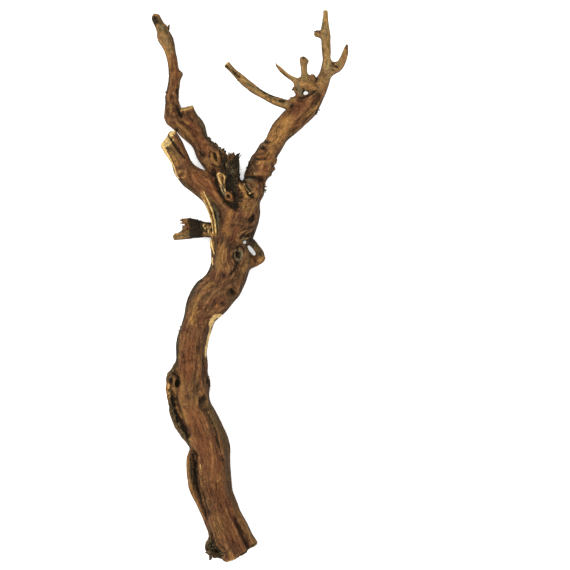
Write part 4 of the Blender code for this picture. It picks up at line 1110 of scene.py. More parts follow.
def carveMarks():
    # A first, even skin with the marks cut into it.
    shape = bmesh.new()
    shape.from_mesh(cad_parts["grapevine_wood"].data)
    bmesh.ops.remove_doubles(shape, verts=shape.verts, dist=1e-6)
    addStrands(shape)
    rough = bpy.data.meshes.new("roughWood")
    shape.to_mesh(rough)
    shape.free()
    fine = remeshed(rough, skin["voxel"])
    points = Neighbours(fine).smoothKeepingSize(readPoints(fine), skin["facetPasses"])
    writePoints(fine, points)
    normals = readNormals(fine)
    relief, paint = layMarks(points, normals)
    size, height = skin["lumps"]
    relief += clouds(points, size, 3.1) * height
    size, height = skin["knobs"]
    relief += paint["knobbly"] * clouds(points, size, 23.1) * height
    writePoints(fine, points + normals * (relief * overGround(points, skin["firstFade"]))[:, None])
    print("grapevine wood: marks carved,", len(points), "points")
    return fine


def leaveBark(points, normals, grain, share, paint):
    # Bark is left low down and in patches; adds it to the paint, and gives where it is thick.
    lowSide = np.clip(0.35 - normals[:, 2] * 1.1, 0, 1)
    size, width, length = skin["barkPatches"]
    patches = clouds(points, size, 7.7) * 0.5 + grainClouds(grain, share, width, length, 5.2) * 0.5
    low, patchy, start = skin["barkShare"]
    paint["bark"] = np.maximum(paint["bark"], np.clip(lowSide * low + patches * patchy + start, 0, 1))
    return np.clip((paint["bark"] - 0.35) * 3, 0, 1)


def grainRelief(points, grain, share, rings, bark, knobbly):
    # Flutes, ribs, bark plates, cracks, creases and the rings of the knots.
    width, length, height = skin["flutes"]
    relief = grainClouds(grain, share, width, length) * height
    width, length, height = skin["ribs"]
    relief += grainClouds(grain, share, width, length, 4.4) * height
    width, length, narrow, depth = skin["barkPlates"]
    plates = 1 - np.abs(grainClouds(grain, share, width, length, 9.9)) * narrow
    relief += bark * (skin["barkThick"] - np.clip(plates, 0, 1) * depth)
    where = np.clip(grainClouds(grain, share, *skin["crackedPlaces"], 2.2) * 4 + 0.2, 0, 1)
    width, length, narrow, depth = skin["cracks"]
    relief -= np.exp(-((grainClouds(grain, share, width, length, 14.2) / narrow) ** 2)) * where * depth
    size, narrow, depth = skin["creases"]
    relief -= np.exp(-((clouds(points, size, 41.1) / narrow) ** 2)) * knobbly * depth
    close, height = skin["knotRings"]
    return relief + np.sin(rings[:, 0] * close) * rings[:, 1] * height


def formOf(points, normals, around):
    # How deep in a hollow, how far out on a ridge and how far down the side each point is.
    hollows, sides = skin["hollows"], skin["sides"]
    near = around.smooth(points, hollows["nearPasses"])
    wide = around.smooth(near, hollows["widePasses"])
    depth = ((near - points) * normals).sum(1) / hollows["near"]
    depth += ((wide - points) * normals).sum(1) / hollows["wide"]
    depth = around.smooth(depth[:, None], 1)[:, 0]
    steady = around.smooth(normals, sides["passes"])
    side = np.clip((sides["start"] - steady[:, 2]) / sides["run"], 0, 1)
    return np.stack([np.clip(depth, 0, 2), np.clip(-depth, 0, 2), side], axis=1)


def buildSkin():
    fine = remeshed(cutAway(carveMarks()), skin["voxel"])
    around = Neighbours(fine)
    points = around.smooth(readPoints(fine), 1)
    writePoints(fine, points)
    normals = readNormals(fine)
    grain, cross, share = followGrain(points)
    rings = turnRoundKnots(points, grain, cross, share)
    paint = layMarks(points, normals)[1]
    bark = leaveBark(points, normals, grain, share, paint)
    relief = grainRelief(points, grain, share, rings, bark, paint["knobbly"])
    points = points + normals * (relief * overGround(points, skin["lastFade"]))[:, None]
    points[:, 2] = np.maximum(points[:, 2], 0)
    paint["cut"] = sawnFaces(points)
    writePoints(fine, points)

    sets = {"grainA": grain[0], "grainB": grain[1], "grainC": grain[2], "grainShare": share.T}
    for name, group in toneLayers.items():
        sets[name] = np.stack([paint[tone] for tone in group], axis=1)
    # the form sets where the shader paints shade in hollows and down the sides, and lightens raised places
    sets["form"] = formOf(points, readNormals(fine), around)
    sets["knotRings"] = rings
    for name, values in sets.items():
        layer = fine.attributes.new(name, "FLOAT_VECTOR", "POINT")
        layer.data.foreach_set("vector", np.ascontiguousarray(values, np.float32).ravel())
    fine.polygons.foreach_set("use_smooth", [True] * len(fine.polygons))
    fine.name = "vineWood"
    print("grapevine wood: skin finished,", 2 * len(fine.polygons), "triangles")
    return addObject("vineWood", fine)


def thinUnderside(wood):
    # The side that the piece lies on takes fewer and larger faces.
    low = readNormals(wood.data)[:, 2] < skin["thinBelow"]
    group = wood.vertex_groups.new(name="underside")
    group.add(np.flatnonzero(low).tolist(), 1.0, "REPLACE")
    thin = wood.modifiers.new("Thin", "DECIMATE")
    thin.ratio = skin["keptShare"]
    thin.vertex_group = group.name
    thinned = modified(wood)
    wood.modifiers.clear()
    wood.vertex_groups.clear()
    wood.data = thinned
    thinned.name = "vineWood"
    points = readPoints(thinned)
    points[:, 2] = np.maximum(points[:, 2], 0)
    writePoints(thinned, points)
    thinned.calc_loop_triangles()
    print("grapevine wood: underside thinned,", len(thinned.loop_triangles), "triangles")


# Torn wood and flakes: course on the drawing, height, the way they point (right, down, up), how many, length,
# width, how blunt the tip is, how far they fan out, and their tones.
splinters = {
    "lowStubTop": (
        [(183.4, 218.8), (185.4, 222.4)], 14, (-1, -0.12, 0.1), 12, (2.8, 6.4), (1.2, 2.8), 0.12, 0.26,
        {"red": 0.5, "black": 0.35},
    ),
    "lowStubFoot": (
        [(176.6, 232.6), (177.4, 238.6)], 12, (-1, 0.15, 0.1), 12, (2.4, 4.6), (1.0, 2.2), 0.12, 0.3,
        {"gold": 0.5, "olive": 0.4},
    ),
    "lowStubMiddle": (
        [(185.6, 226.6), (184.6, 228.6)], 13, (-1, 0, 0.1), 6, (3.0, 5.0), (1.0, 2.2), 0.12, 0.5,
        {"red": 0.4, "shade": 0.4},
    ),
    "darkStub": (
        [(227.6, 161), (233, 159.6), (240.4, 160.6)], 33, (0.12, -1, 0.1), 12, (3.6, 9.0), (1.5, 3.2), 0.12,
        0.3, {"black": 0.6, "bark": 0.9, "grey": 0.2},
    ),
    "darkStubTeeth": (
        [(228, 165), (233.5, 164), (240, 165)], 32, (0.1, -1, 0.1), 8, (6.5, 11.5), (3.6, 5.6), 0.12, 0.16,
        {"black": 0.5, "bark": 1.0, "grey": 0.3},
    ),
    "darkStubTop": (
        [(229, 165), (238, 165)], 44, (0.1, -1, 0.5), 12, (3.0, 6.5), (1.6, 3.0), 0.12, 0.3,
        {"black": 0.5, "bark": 0.9, "olive": 0.3},
    ),
    "darkStubSide": (
        [(240, 166), (241.6, 176)], 32, (1, -0.3, 0.1), 9, (1.6, 3.2), (0.6, 1.1), 0.12, 0.6,
        {"black": 0.6, "bark": 0.5},
    ),
    "crownFuzz": (
        [(262.6, 185), (264, 193)], 24, (1, 0.3, 0.1), 9, (2.4, 4.6), (0.9, 1.6), 0.12, 0.6,
        {"bark": 0.8, "olive": 0.5},
    ),
    "armFlakes": (
        [(208, 137), (217, 143), (227, 152)], 17, (1, -0.9, 0.2), 15, (1.6, 3.0), (2.4, 4.8), 0.5, 0.5,
        {"bark": 0.8, "olive": 0.4},
    ),
    "stubFlakes": (
        [(222, 152), (227.6, 159)], 24, (0.8, -1, 0.2), 7, (1.6, 3.6), (0.8, 1.8), 0.5, 0.5,
        {"bark": 0.8, "black": 0.4},
    ),
    "spurWarts": (
        [(294.6, 86.4), (295, 92)], 25, (-1, -0.2, 0.1), 6, (2.4, 4.0), (1.8, 3.0), 0.5, 0.5,
        {"olive": 0.7, "grey": 0.4},
    ),
    "spurBud": (
        [(292.6, 100.4), (294.4, 100)], 24, (-0.5, -1, 0.1), 4, (2.4, 3.8), (1.6, 2.6), 0.5, 0.4,
        {"olive": 0.7},
    ),
    "caneThorn": (
        [(165.6, 28.6), (167, 31)], 11, (0.25, -1, 0.1), 3, (4.4, 6.8), (1.8, 2.6), 0.12, 0.14,
        {"olive": 0.8},
    ),
    "caneFlakes": (
        [(170.6, 37.4), (171.6, 40)], 11, (1, -0.4, 0.1), 3, (1.2, 2.2), (0.9, 1.5), 0.5, 0.4, {"olive": 0.7},
    ),
    "elbowFlakes": (
        [(166, 114.6), (167, 119)], 12, (-1, 0.1, 0.1), 4, (1.4, 2.4), (0.9, 1.6), 0.5, 0.4, {"bark": 0.7},
    ),
    "trunkFlake": (
        [(181.6, 327), (180.4, 333)], 24, (-0.7, -1, 0.1), 4, (1.6, 2.8), (0.8, 1.4), 0.5, 0.3, {"bark": 0.8},
    ),
    "pocketFringe": (
        [(207.4, 376), (208.6, 389)], 18, (1, 0.2, 0.1), 8, (1.2, 2.6), (0.7, 1.3), 0.12, 0.6,
        {"black": 0.5, "olive": 0.5},
    ),
    "armUnderside": (
        [(317.6, 108), (313.4, 114)], 15, (1, 0.8, 0), 6, (1.2, 2.6), (0.8, 1.6), 0.5, 0.5,
        {"bark": 0.7, "black": 0.3},
    ),
    "collarFlakes": (
        [(277, 163), (276, 173)], 19, (1, 0.4, 0), 6, (1.0, 2.0), (0.8, 1.5), 0.5, 0.5, {"bark": 0.6},
    ),
    "footFlakes": (
        [(207.4, 542), (210.4, 554), (219.6, 556.4)], 12, (-0.7, 0.5, 0), 24, (2.2, 4.6), (1.8, 3.8), 0.5,
        0.8, {"bark": 0.8, "grey": 0.3},
    ),
    "longCaneBumps": (
        [(232, 69.6), (246, 82), (268, 95)], 36, (0.6, -1, 0.2), 9, (1.2, 2.0), (1.6, 3.0), 0.5, 0.5,
        {"straw": 0.7, "olive": 0.4},
    ),
    "longCaneUnder": (
        [(236, 80), (254, 94), (276, 105)], 36, (-0.5, 1, 0.1), 8, (1.2, 2.2), (1.6, 3.0), 0.5, 0.5,
        {"bark": 0.6, "olive": 0.5},
    ),
    "topCaneBumps": (
        [(322.6, 20), (322, 30)], 28, (-1, -0.2, 0.2), 4, (1.2, 2.0), (1.4, 2.4), 0.5, 0.5,
        {"straw": 0.5, "shade": 0.5},
    ),
    "topCaneTip": (
        [(323.6, 13), (328, 13)], 28, (0, -1, 0.1), 5, (1.0, 1.8), (1.6, 2.4), 0.7, 0.12, {"straw": 0.8},
    ),
    "hookTip": (
        [(346.4, 49), (346.8, 50)], 33, (0.15, -1, 0.1), 2, (2.6, 3.4), (3.4, 4.0), 0.85, 0.06,
        {"shade": 0.6},
    ),
    "hookCrotch": (
        [(330, 64), (336, 68)], 30, (0.3, -0.6, 0.8), 6, (1.4, 2.4), (1.6, 2.6), 0.5, 0.6,
        {"olive": 0.6, "shade": 0.4},
    ),
    "knobBumps": (
        [(314, 33), (320, 33)], 30, (-0.3, -0.8, 0.6), 6, (1.2, 2.0), (1.6, 2.6), 0.5, 0.6,
        {"red": 0.5, "olive": 0.5},
    ),
    "leftCaneBumps": (
        [(168.6, 60), (168, 90), (165.6, 108)], 11, (-1, 0, 0.1), 7, (1.0, 1.8), (1.4, 2.8), 0.5, 0.4,
        {"bark": 0.6},
    ),
    "footCorner": (
        [(251, 535), (254, 540)], 16, (1, 0.1, 0), 3, (1.0, 2.0), (0.7, 1.2), 0.12, 0.4, {"bark": 0.6},
    ),
    "lowStubTopEdge": (
        [(188, 218.4), (196, 220.4), (202, 223.6)], 14, (0, -1, 0.1), 9, (1.0, 2.2), (1.4, 2.6), 0.5, 0.6,
        {"black": 1.0},
    ),
    "darkStubLump": (
        [(230.4, 163), (233.6, 162.4)], 33, (0.1, -1, 0.1), 4, (6.4, 8.4), (4.4, 6.2), 0.5, 0.12,
        {"red": 0.5, "bark": 0.5},
    ),
    "darkStubPlates": (
        [(227, 165), (232, 176), (236.4, 187), (240, 203)], 48, (0.1, -0.6, 0.6), 54, (1.4, 3.6), (1.6, 3.4),
        0.5, 0.7, {"black": 0.5, "bark": 0.9, "olive": 0.3},
    ),
    "whisker": (
        [(238, 160), (238.4, 159.6)], 33, (0.35, -1, 0.1), 1, (5.4, 5.6), (0.7, 0.8), 0.12, 0.02,
        {"bark": 0.6},
    ),
    "blockBud": (
        [(313.4, 80.8), (314, 80.6)], 22, (-0.12, -1, 0.3), 2, (6.2, 7.2), (4.4, 5.2), 0.12, 0.06,
        {"deep": 0.9, "red": 0.4},
    ),
    "footCrust": (
        [(208.6, 540), (209.4, 549), (214, 553), (220, 552)], 28, (-0.3, 0.2, 0.6), 44, (1.2, 2.8),
        (1.8, 3.8), 0.4, 0.9, {"bark": 0.9, "black": 0.6},
    ),
    "footPale": (
        [(210, 541), (211, 550), (217, 554.6)], 26, (-0.3, 0.4, 0.7), 8, (1.8, 3.4), (1.0, 1.8), 0.4, 0.7,
        {"straw": 0.9, "grey": 0.6},
    ),
    "strandCrust": (
        [(170.6, 372), (170, 394), (174, 414), (184, 434)], 26, (-0.5, 0, 0.6), 40, (1.0, 2.2), (1.4, 2.6),
        0.5, 0.8, {"bark": 0.9, "grey": 0.3},
    ),
    "armEdge": (
        [(250.4, 160), (248, 168), (246.4, 175)], 19, (-1, -0.2, 0.1), 8, (1.2, 2.4), (1.4, 2.8), 0.5, 0.5,
        {"black": 0.9, "bark": 0.5},
    ),
    "foldEdge": (
        [(276.4, 158), (272.6, 168), (268, 176)], 18, (1, 0.3, 0), 7, (1.0, 1.8), (1.8, 3.2), 0.6, 0.4,
        {"deep": 0.9},
    ),
    "shootTip": (
        [(276.2, 65.6), (277, 66)], 33, (-1, -0.45, 0.1), 1, (3.4, 3.6), (1.1, 1.2), 0.12, 0.02,
        {"pale": 0.9},
    ),
}
spike = {
    # how far along, width, and the width that a blunt tip adds
    "rings": ((0, 1, 0), (0.42, 0.86, 0.3), (0.78, 0.5, 0.7), (1, 0, 1)),
    "flatness": 0.28,
    "wobble": 0.3,
    "rooted": (0.9, 0.6),  # how deep it starts under the skin, and how far behind itself
    "seed": 20,
    "heightSpread": 3,
    "toneSpread": (0.5, 1.3),
    "bend": (0.4, 0.4, 0.3),
}


def addSplinter(shape, layers, base, aim, length, width, tip, bend, shades, number):
    # A flat spike of torn wood: four rings of six points, narrowing and bending to its tip.
    made = bmesh.ops.create_cone(shape, cap_ends=True, segments=6, radius1=1, radius2=1, depth=1)
    corners = set(made["verts"])
    faces = {face for corner in corners for face in corner.link_faces}
    cap = next(face for face in faces if all(corner.co.z > 0 for corner in face.verts))
    for _ in range(2):
        grown = bmesh.ops.extrude_discrete_faces(shape, faces=[cap])
        cap = grown["faces"][0]
        bmesh.ops.translate(shape, vec=(0, 0, 1), verts=cap.verts)
        corners.update(cap.verts)
    turn = aim.to_track_quat("Z", "Y") @ Quaternion((0, 0, 1), number * 2.1)
    for corner in corners:
        t, own, blunt = spike["rings"][round(corner.co.z + 0.5)]
        narrow = own + tip * blunt
        right, up = corner.co.x * width / 2 * narrow, corner.co.y * width * spike["flatness"] * narrow
        flat = Vector((right, up, t * length))
        wobble = Vector((noise.noise((number, t * 3, 0)), noise.noise((number, t * 3, 9)), 0))
        local = flat + wobble * width * spike["wobble"]
        corner.co = (base + turn @ local + bend * t * t) * mm
        corner.co.z = max(corner.co.z, 0.0002)
        corner[layers["grainA"]] = (flat.x + number * 3, flat.y, flat.z)
        corner[layers["grainShare"]] = (1, 0, 0)
        # dark at the root as painted shade where it meets the wood, lighter towards the tip partly as painted
        # highlight, and a little shade on its sides
        corner[layers["form"]] = (0.4 * (1 - t), 0.5 * t, 0.2)
        for name, group in toneLayers.items():
            corner[layers[name]] = [shades.get(tone, 0) for tone in group]


def buildSplinters(wood):
    chance = random.Random(spike["seed"])
    shape = bmesh.new()
    names = ("grainA", "grainB", "grainC", "grainShare", *toneLayers, "form", "knotRings")
    layers = {name: shape.verts.layers.float_vector.new(name) for name in names}
    bpy.context.view_layer.update()
    deep, behind = spike["rooted"]
    number = 0
    for course, height, (right, down, up), count, lengths, widths, tip, fan, tones in splinters.values():
        for order in range(count):
            number += 1
            spot = (order + chance.random()) / count * (len(course) - 1)
            index = min(int(spot), len(course) - 2)
            (x0, y0), (x1, y1) = course[index], course[index + 1]
            share = spot - index
            level = height + chance.uniform(-spike["heightSpread"], spike["heightSpread"])
            base = place(x0 + (x1 - x0) * share, y0 + (y1 - y0) * share, level)
            _, nearest, normal, _ = wood.closest_point_on_mesh(base * mm)
            aim = Vector([part + chance.gauss(0, fan) for part in (right, -down, up)]).normalized()
            shades = {tone: amount * chance.uniform(*spike["toneSpread"]) for tone, amount in tones.items()}
            bend = Vector([chance.gauss(0, spread) for spread in spike["bend"]])
            root = nearest / mm - normal * deep - aim * behind
            length = chance.uniform(*lengths) + deep
            addSplinter(shape, layers, root, aim, length, chance.uniform(*widths), tip, bend, shades, number)
    bmesh.ops.recalc_face_normals(shape, faces=shape.faces)
    for face in shape.faces:
        face.smooth = True
    mesh = bpy.data.meshes.new("tornSplinters")
    shape.to_mesh(mesh)
    shape.free()
    print("grapevine wood:", number, "torn splinters and bark flakes")
    return addObject("tornSplinters", mesh)


def screenColour(red, green, blue):
    # A colour as seen on a screen, 0 to 255, as the shader wants it.
    levels = [((v / 255 + 0.055) / 1.055) ** 2.4 if v > 10 else v / 255 / 12.92 for v in (red, green, blue)]
    return (*levels, 1)


class NodeDesk:
    # Lays out nodes in one tree; a value may be a number, a colour or another node's socket.
    def __init__(self, tree):
        self.tree = tree
        self.column = 0

    def add(self, kind, inputs=(), **settings):
        made = self.tree.nodes.new(kind)
        self.column += 1
        made.location = (self.column % 14 * 190 - 1300, self.column // 14 * -260)
        for name, value in settings.items():
            setattr(made, name, value)
        for key, value in dict(inputs).items():
            self.feed(made.inputs[key], value)
        return made

    def feed(self, socket, value):
        if isinstance(value, bpy.types.NodeSocket):
            self.tree.links.new(value, socket)
        elif value is not None:
            socket.default_value = value

    def reckon(self, operation, first, second=None, third=None, clamp=False):
        values = {0: first, 1: second, 2: third}
        return self.add("ShaderNodeMath", values, operation=operation, use_clamp=clamp).outputs[0]

    def times(self, first, second):
        return self.reckon("MULTIPLY", first, second)

    def mix(self, share, first, second, mode="MIX"):
        made = self.add("ShaderNodeMix", data_type="RGBA", blend_type=mode)
        self.feed(made.inputs[0], share)
        self.feed(made.inputs[6], first)
        self.feed(made.inputs[7], second)
        return made.outputs[2]

    def over(self, colour, mask, strength, upper):
        # The upper colour laid over the other where the mask shows.
        return self.mix(self.times(mask, strength), colour, upper)

    def scaled(self, vector, scale):
        return self.add("ShaderNodeVectorMath", {0: vector, 1: scale}, operation="MULTIPLY").outputs[0]

    def cloud(self, vector, scale, detail=2.0, rough=0.5, twist=0.0):
        values = {"Vector": self.scaled(vector, scale), "Scale": 1.0}
        values.update({"Detail": detail, "Roughness": rough, "Distortion": twist})
        return self.add("ShaderNodeTexNoise", values).outputs["Fac"]

    def step(self, value, low, high, toLow=0.0, toHigh=1.0):
        values = {0: value, 1: low, 2: high, 3: toLow, 4: toHigh}
        return self.add("ShaderNodeMapRange", values, interpolation_type="SMOOTHSTEP").outputs[0]

    def attribute(self, name):
        return self.add("ShaderNodeAttribute", attribute_name=name).outputs["Vector"]

    def parts(self, vector):
        return self.add("ShaderNodeSeparateXYZ", {0: vector}).outputs

    def group(self, tree, **inputs):
        made = self.add("ShaderNodeGroup", node_tree=tree)
        for name, value in inputs.items():
            self.feed(made.inputs[name], value)
        return made.outputs


def newGroup(name, inputs, outputs):
    # Inputs by name, a vector where no number is given; the outputs are all numbers.
    tree = bpy.data.node_groups.new(name, "ShaderNodeTree")
    for label, value in inputs.items():
        kind = "NodeSocketVector" if value is None else "NodeSocketFloat"
        socket = tree.interface.new_socket(label, in_out="INPUT", socket_type=kind)
        if value is not None:
            socket.default_value = value
    for label in outputs:
        tree.interface.new_socket(label, in_out="OUTPUT", socket_type="NodeSocketFloat")
    desk = NodeDesk(tree)
    return tree, desk, desk.add("NodeGroupInput").outputs, desk.add("NodeGroupOutput").inputs


figureParts = ("Streak", "Fibre", "Pore", "Check")
figureClouds = {  # how fine across and along the limb, detail, roughness, twist
    "broad": (0.2, 0.05, 3.0, 0.6, 0.4),
    "lines": (0.55, 0.09, 3.0, 0.65, 0.0),
    "fibres": (1.0, 0.16, 4.0, 0.7, 0.0),
    "pores": (3.2, 0.32, 1.0, 0.5, 0.0),
    "checks": (0.3, 0.028, 2.0, 0.55, 0.25),
    "checkedPlaces": (0.16, 0.05, 1.0, 0.5, 0.0),
}


def strandGroup():
    # Lengthwise figure of one limb: broad streaks, fibres, open pores and fine checks.
    tree, desk, given, out = newGroup("vineStrand", {"Grain": None}, figureParts)
    cloud = {
        name: desk.cloud(given["Grain"], (across, across, along), *settings)
        for name, (across, along, *settings) in figureClouds.items()
    }
    streak = desk.reckon("MULTIPLY_ADD", cloud["broad"], 0.6, desk.times(cloud["lines"], 0.4))
    desk.feed(out["Streak"], streak)
    desk.feed(out["Fibre"], cloud["fibres"])
    desk.feed(out["Pore"], desk.step(cloud["pores"], 0.66, 0.74))
    path = desk.reckon("ABSOLUTE", desk.reckon("SUBTRACT", cloud["checks"], 0.5))
    where = desk.step(cloud["checkedPlaces"], 0.5, 0.62)
    desk.feed(out["Check"], desk.times(desk.step(path, 0.022, 0.004), where))
    return tree


def figureGroup(strand):
    # The figure of the whole piece: three slots of limbs, each counting as much as its share.
    names = ("Grain A", "Grain B", "Grain C")
    tree, desk, given, out = newGroup("vineFigure", dict.fromkeys((*names, "Share")), figureParts)
    totals = dict.fromkeys(figureParts, 0.0)
    for name, share in zip(names, desk.parts(given["Share"])):
        limb = desk.group(strand, Grain=given[name])
        for label in figureParts:
            totals[label] = desk.reckon("MULTIPLY_ADD", limb[label], share, totals[label])
    for label, total in totals.items():
        desk.feed(out[label], total)
    return tree


def swing(desk, texture, amount):
    # The texture about nought, times the amount.
    return desk.times(desk.reckon("SUBTRACT", texture, 0.5), amount)


def raggedGroup():
    # A painted mask with a ragged edge, broken up by a texture.
    inputs = {"Mask": 0.0, "Texture": 0.5, "Raggedness": 0.5, "Softness": 0.12}
    tree, desk, given, out = newGroup("raggedEdge", inputs, ("Mask",))
    value = desk.reckon("ADD", given["Mask"], swing(desk, given["Texture"], given["Raggedness"]))
    low = desk.reckon("SUBTRACT", 0.45, given["Softness"])
    high = desk.reckon("ADD", 0.45, given["Softness"])
    painted = desk.reckon("GREATER_THAN", given["Mask"], 0.02)
    desk.feed(out["Mask"], desk.times(desk.step(value, low, high), painted))
    return tree


def shadeAndWearGroup():
    # Painted shade in hollows and down the sides; raised places come out lighter, partly from the sanding and
    # partly as painted highlight.
    ranges = {"HollowShade": (0.25, 1.7), "WearAndHighlight": (0.3, 1.6), "Side": (0.12, 0.85)}
    tree, desk, given, out = newGroup("hollowsAndRidges", {"Form": None, "Texture": 0.5}, ranges)
    rough = swing(desk, given["Texture"], 0.9)
    for (label, (low, high)), part in zip(ranges.items(), desk.parts(given["Form"])):
        desk.feed(out[label], desk.step(desk.reckon("ADD", part, rough), low, high))
    return tree


colours = {
    name: screenColour(*levels)
    for name, levels in {
        "redBrown": (79, 47, 29),
        "yellowBrown": (98, 68, 41),
        "deep": (62, 40, 26),
        "straw": (131, 116, 75),
        # lighter wood in the figure, and on raised places as wear and painted highlight
        "bright": (140, 99, 57),
        "streak": (46, 31, 20),
        "gold": (149, 110, 56),
        "pale": (196, 164, 104),
        "red": (97, 55, 29),
        "olive": (66, 57, 33),
        "grey": (86, 81, 61),
        "bark": (41, 36, 25),
        # lighter bark, also laid as painted highlight on raised bark
        "barkLight": (92, 76, 50),
        # painted shade down the sides of the limbs, where the light reaches less
        "side": (48, 35, 21),
        "black": (13, 11, 6),
        # dark of pores, checks and knot rings, and painted shade in hollows and along the shade marks
        "darkAndShade": (28, 18, 9),
        "cut": (178, 154, 98),
        "cutRing": (112, 84, 46),
    }.items()
}
finish = {
    "textures": {  # how fine, detail, roughness, twist
        "blotch": (0.075, 3.0, 0.55, 0.4),
        "speckle": (0.5, 4.0, 0.68, 0.0),
        "crumb": (1.5, 3.0, 0.65, 0.0),
    },
    "ground": [  # texture, where it starts and where it is whole, strength, colour
        ("streak", 0.42, 0.66, 0.75, "streak"),
        ("speckle", 0.53, 0.68, 0.62, "streak"),
        ("streak", 0.47, 0.33, 0.5, "bright"),
        ("speckle", 0.45, 0.34, 0.5, "bright"),
    ],
    "painted": [  # tone, two levels of the edge texture, and how strong the tone is at each
        ("straw", 0.62, 0.38, 0.45, 0.95),
        ("deep", 0.4, 0.56, 0.35, 1.0),
        ("red", 0.3, 0.65, 0.62, 0.95),
        ("olive", 0.35, 0.65, 0.55, 1.0),
        ("gold", 0.62, 0.36, 0.35, 1.0),
    ],
    "ragged": {  # texture, how ragged and how soft the edge is
        "bark": ("edge", 2.2, 0.12),
        "grey": ("speckle", 1.8, 0.2),
        "pale": ("edge", 2.4, 0.2),
        "black": ("speckle", 1.8, 0.26),
    },
    "strength": {
        # the side and hollow strengths lay painted shade; the wear strengths lighten raised places, partly as
        # painted highlight
        "wear": 0.35, "side": 0.8, "darkAndShade": 0.8, "bark": 0.88, "barkHighlight": 0.75, "barkHollowShade": 0.9,
        "cut": 0.85, "pale": 0.9, "black": 0.9, "pore": 0.5, "check": 0.75,
    },
    "sawRings": {"close": 3.1, "wavy": 5.0},
    "knotRings": {"close": 5.2, "strength": 0.24},
    "fibreLight": (0.34, 0.66, 0.6, 1.4),  # two levels, and how bright the wood is at each
    "crumbLight": (0.36, 0.64, 0.76, 1.24),
    "roughness": (0.2, 0.8, 0.7, 0.84),
    "rougherDark": 0.12,
    "smootherWear": 0.08,
    "shine": 0.08,
    "bump": {"fibre": 0.5, "streak": 0.5, "pore": 0.35, "check": 0.8, "dark": 1.3},
    "bumpStrength": 0.9,
    "bumpHeight": 0.0007,
}


def sandedWood(desk, mask, texture, effects):
    # The bare wood and the tones painted on it, raised places lighter from wear and painted highlight, and
    # painted shade down the sides, in hollows and along the shade marks.
    colour = desk.mix(desk.step(texture["blotch"], 0.36, 0.64), colours["redBrown"], colours["yellowBrown"])
    for name, low, high, strength, tone in finish["ground"]:
        colour = desk.mix(desk.step(texture[name], low, high, 0.0, strength), colour, colours[tone])
    for tone, low, high, least, most in finish["painted"]:
        strength = desk.step(texture["edge"], low, high, least, most)
        colour = desk.over(colour, mask[tone], strength, colours[tone])
    # raised places lighter: sanding wear, and painted highlight
    colour = desk.over(colour, effects["WearAndHighlight"], finish["strength"]["wear"], colours["bright"])
    # painted shade down the sides
    colour = desk.over(colour, effects["Side"], finish["strength"]["side"], colours["side"])
    # painted shade along the shade marks
    strength = desk.step(texture["edge"], 0.3, 0.6, 0.5, 0.95)
    colour = desk.over(colour, mask["shade"], strength, colours["darkAndShade"])
    # painted shade in the hollows
    return desk.over(colour, effects["HollowShade"], finish["strength"]["darkAndShade"], colours["darkAndShade"])


def withBark(desk, colour, mask, texture, effects):
    # Bark left on, with painted highlight on its raised plates and painted shade in its hollows, and greyed
    # skin over it.
    bark = desk.mix(desk.step(texture["crumb"], 0.5, 0.68), colours["bark"], colours["barkLight"])
    bark = desk.mix(desk.step(texture["crumb"], 0.46, 0.34), bark, colours["black"])
    bark = desk.over(bark, effects["WearAndHighlight"], finish["strength"]["barkHighlight"], colours["barkLight"])
    bark = desk.over(bark, effects["HollowShade"], finish["strength"]["barkHollowShade"], colours["black"])
    colour = desk.over(colour, mask["bark"], finish["strength"]["bark"], bark)
    return desk.over(colour, mask["grey"], desk.step(texture["edge"], 0.62, 0.42, 0.3, 0.95), colours["grey"])


def withSawnEnds(desk, colour, mask, texture, grains, shares):
    # Sawn ends, with rings round the heart of the limb.
    half = fibres["courseShift"] / 2
    heart = 0.0
    for grain, share in zip(grains, desk.parts(shares)):
        limb = desk.parts(grain)
        sideways = desk.reckon("WRAP", limb[0], half, -half)
        square = desk.reckon("MULTIPLY_ADD", sideways, sideways, desk.times(limb[1], limb[1]))
        heart = desk.reckon("MULTIPLY_ADD", desk.reckon("POWER", square, 0.5), share, heart)
    wave = desk.times(texture["speckle"], finish["sawRings"]["wavy"])
    rings = desk.reckon("SINE", desk.reckon("MULTIPLY_ADD", heart, finish["sawRings"]["close"], wave))
    sawn = desk.mix(desk.step(rings, -0.4, 1.0, 0.0, 0.6), colours["cut"], colours["cutRing"])
    sawn = desk.mix(desk.step(texture["crumb"], 0.55, 0.75, 0.0, 0.5), sawn, colours["streak"])
    bare = desk.reckon("MULTIPLY_ADD", mask["gold"], -0.6, 1.0)
    cut = desk.times(desk.step(mask["cut"], 0.4, 0.75), bare)
    return desk.over(colour, cut, finish["strength"]["cut"], sawn)


def withFineLines(desk, colour, mask, texture, look):
    # Pale edges, black cracks, the rings of knots, pores and checks, and the light and dark of the fibres.
    colour = desk.over(colour, mask["pale"], finish["strength"]["pale"], colours["pale"])
    black = desk.mix(desk.step(texture["crumb"], 0.47, 0.62), colours["black"], colours["bark"])
    colour = desk.over(colour, mask["black"], finish["strength"]["black"], black)
    rings = desk.parts(desk.attribute("knotRings"))
    ringTone = desk.reckon("SINE", desk.times(rings[0], finish["knotRings"]["close"]))
    ringTone = desk.step(ringTone, -0.2, 1.0, 0.0, finish["knotRings"]["strength"])
    colour = desk.over(colour, ringTone, rings[1], colours["darkAndShade"])
    colour = desk.over(colour, look["Pore"], finish["strength"]["pore"], colours["darkAndShade"])
    colour = desk.over(colour, look["Check"], finish["strength"]["check"], colours["darkAndShade"])
    fibreLight = desk.step(look["Fibre"], *finish["fibreLight"])
    light = desk.times(fibreLight, desk.step(texture["crumb"], *finish["crumbLight"]))
    grey = desk.add("ShaderNodeCombineColor", dict.fromkeys(range(3), light)).outputs[0]
    return desk.mix(1.0, colour, grey, "MULTIPLY")


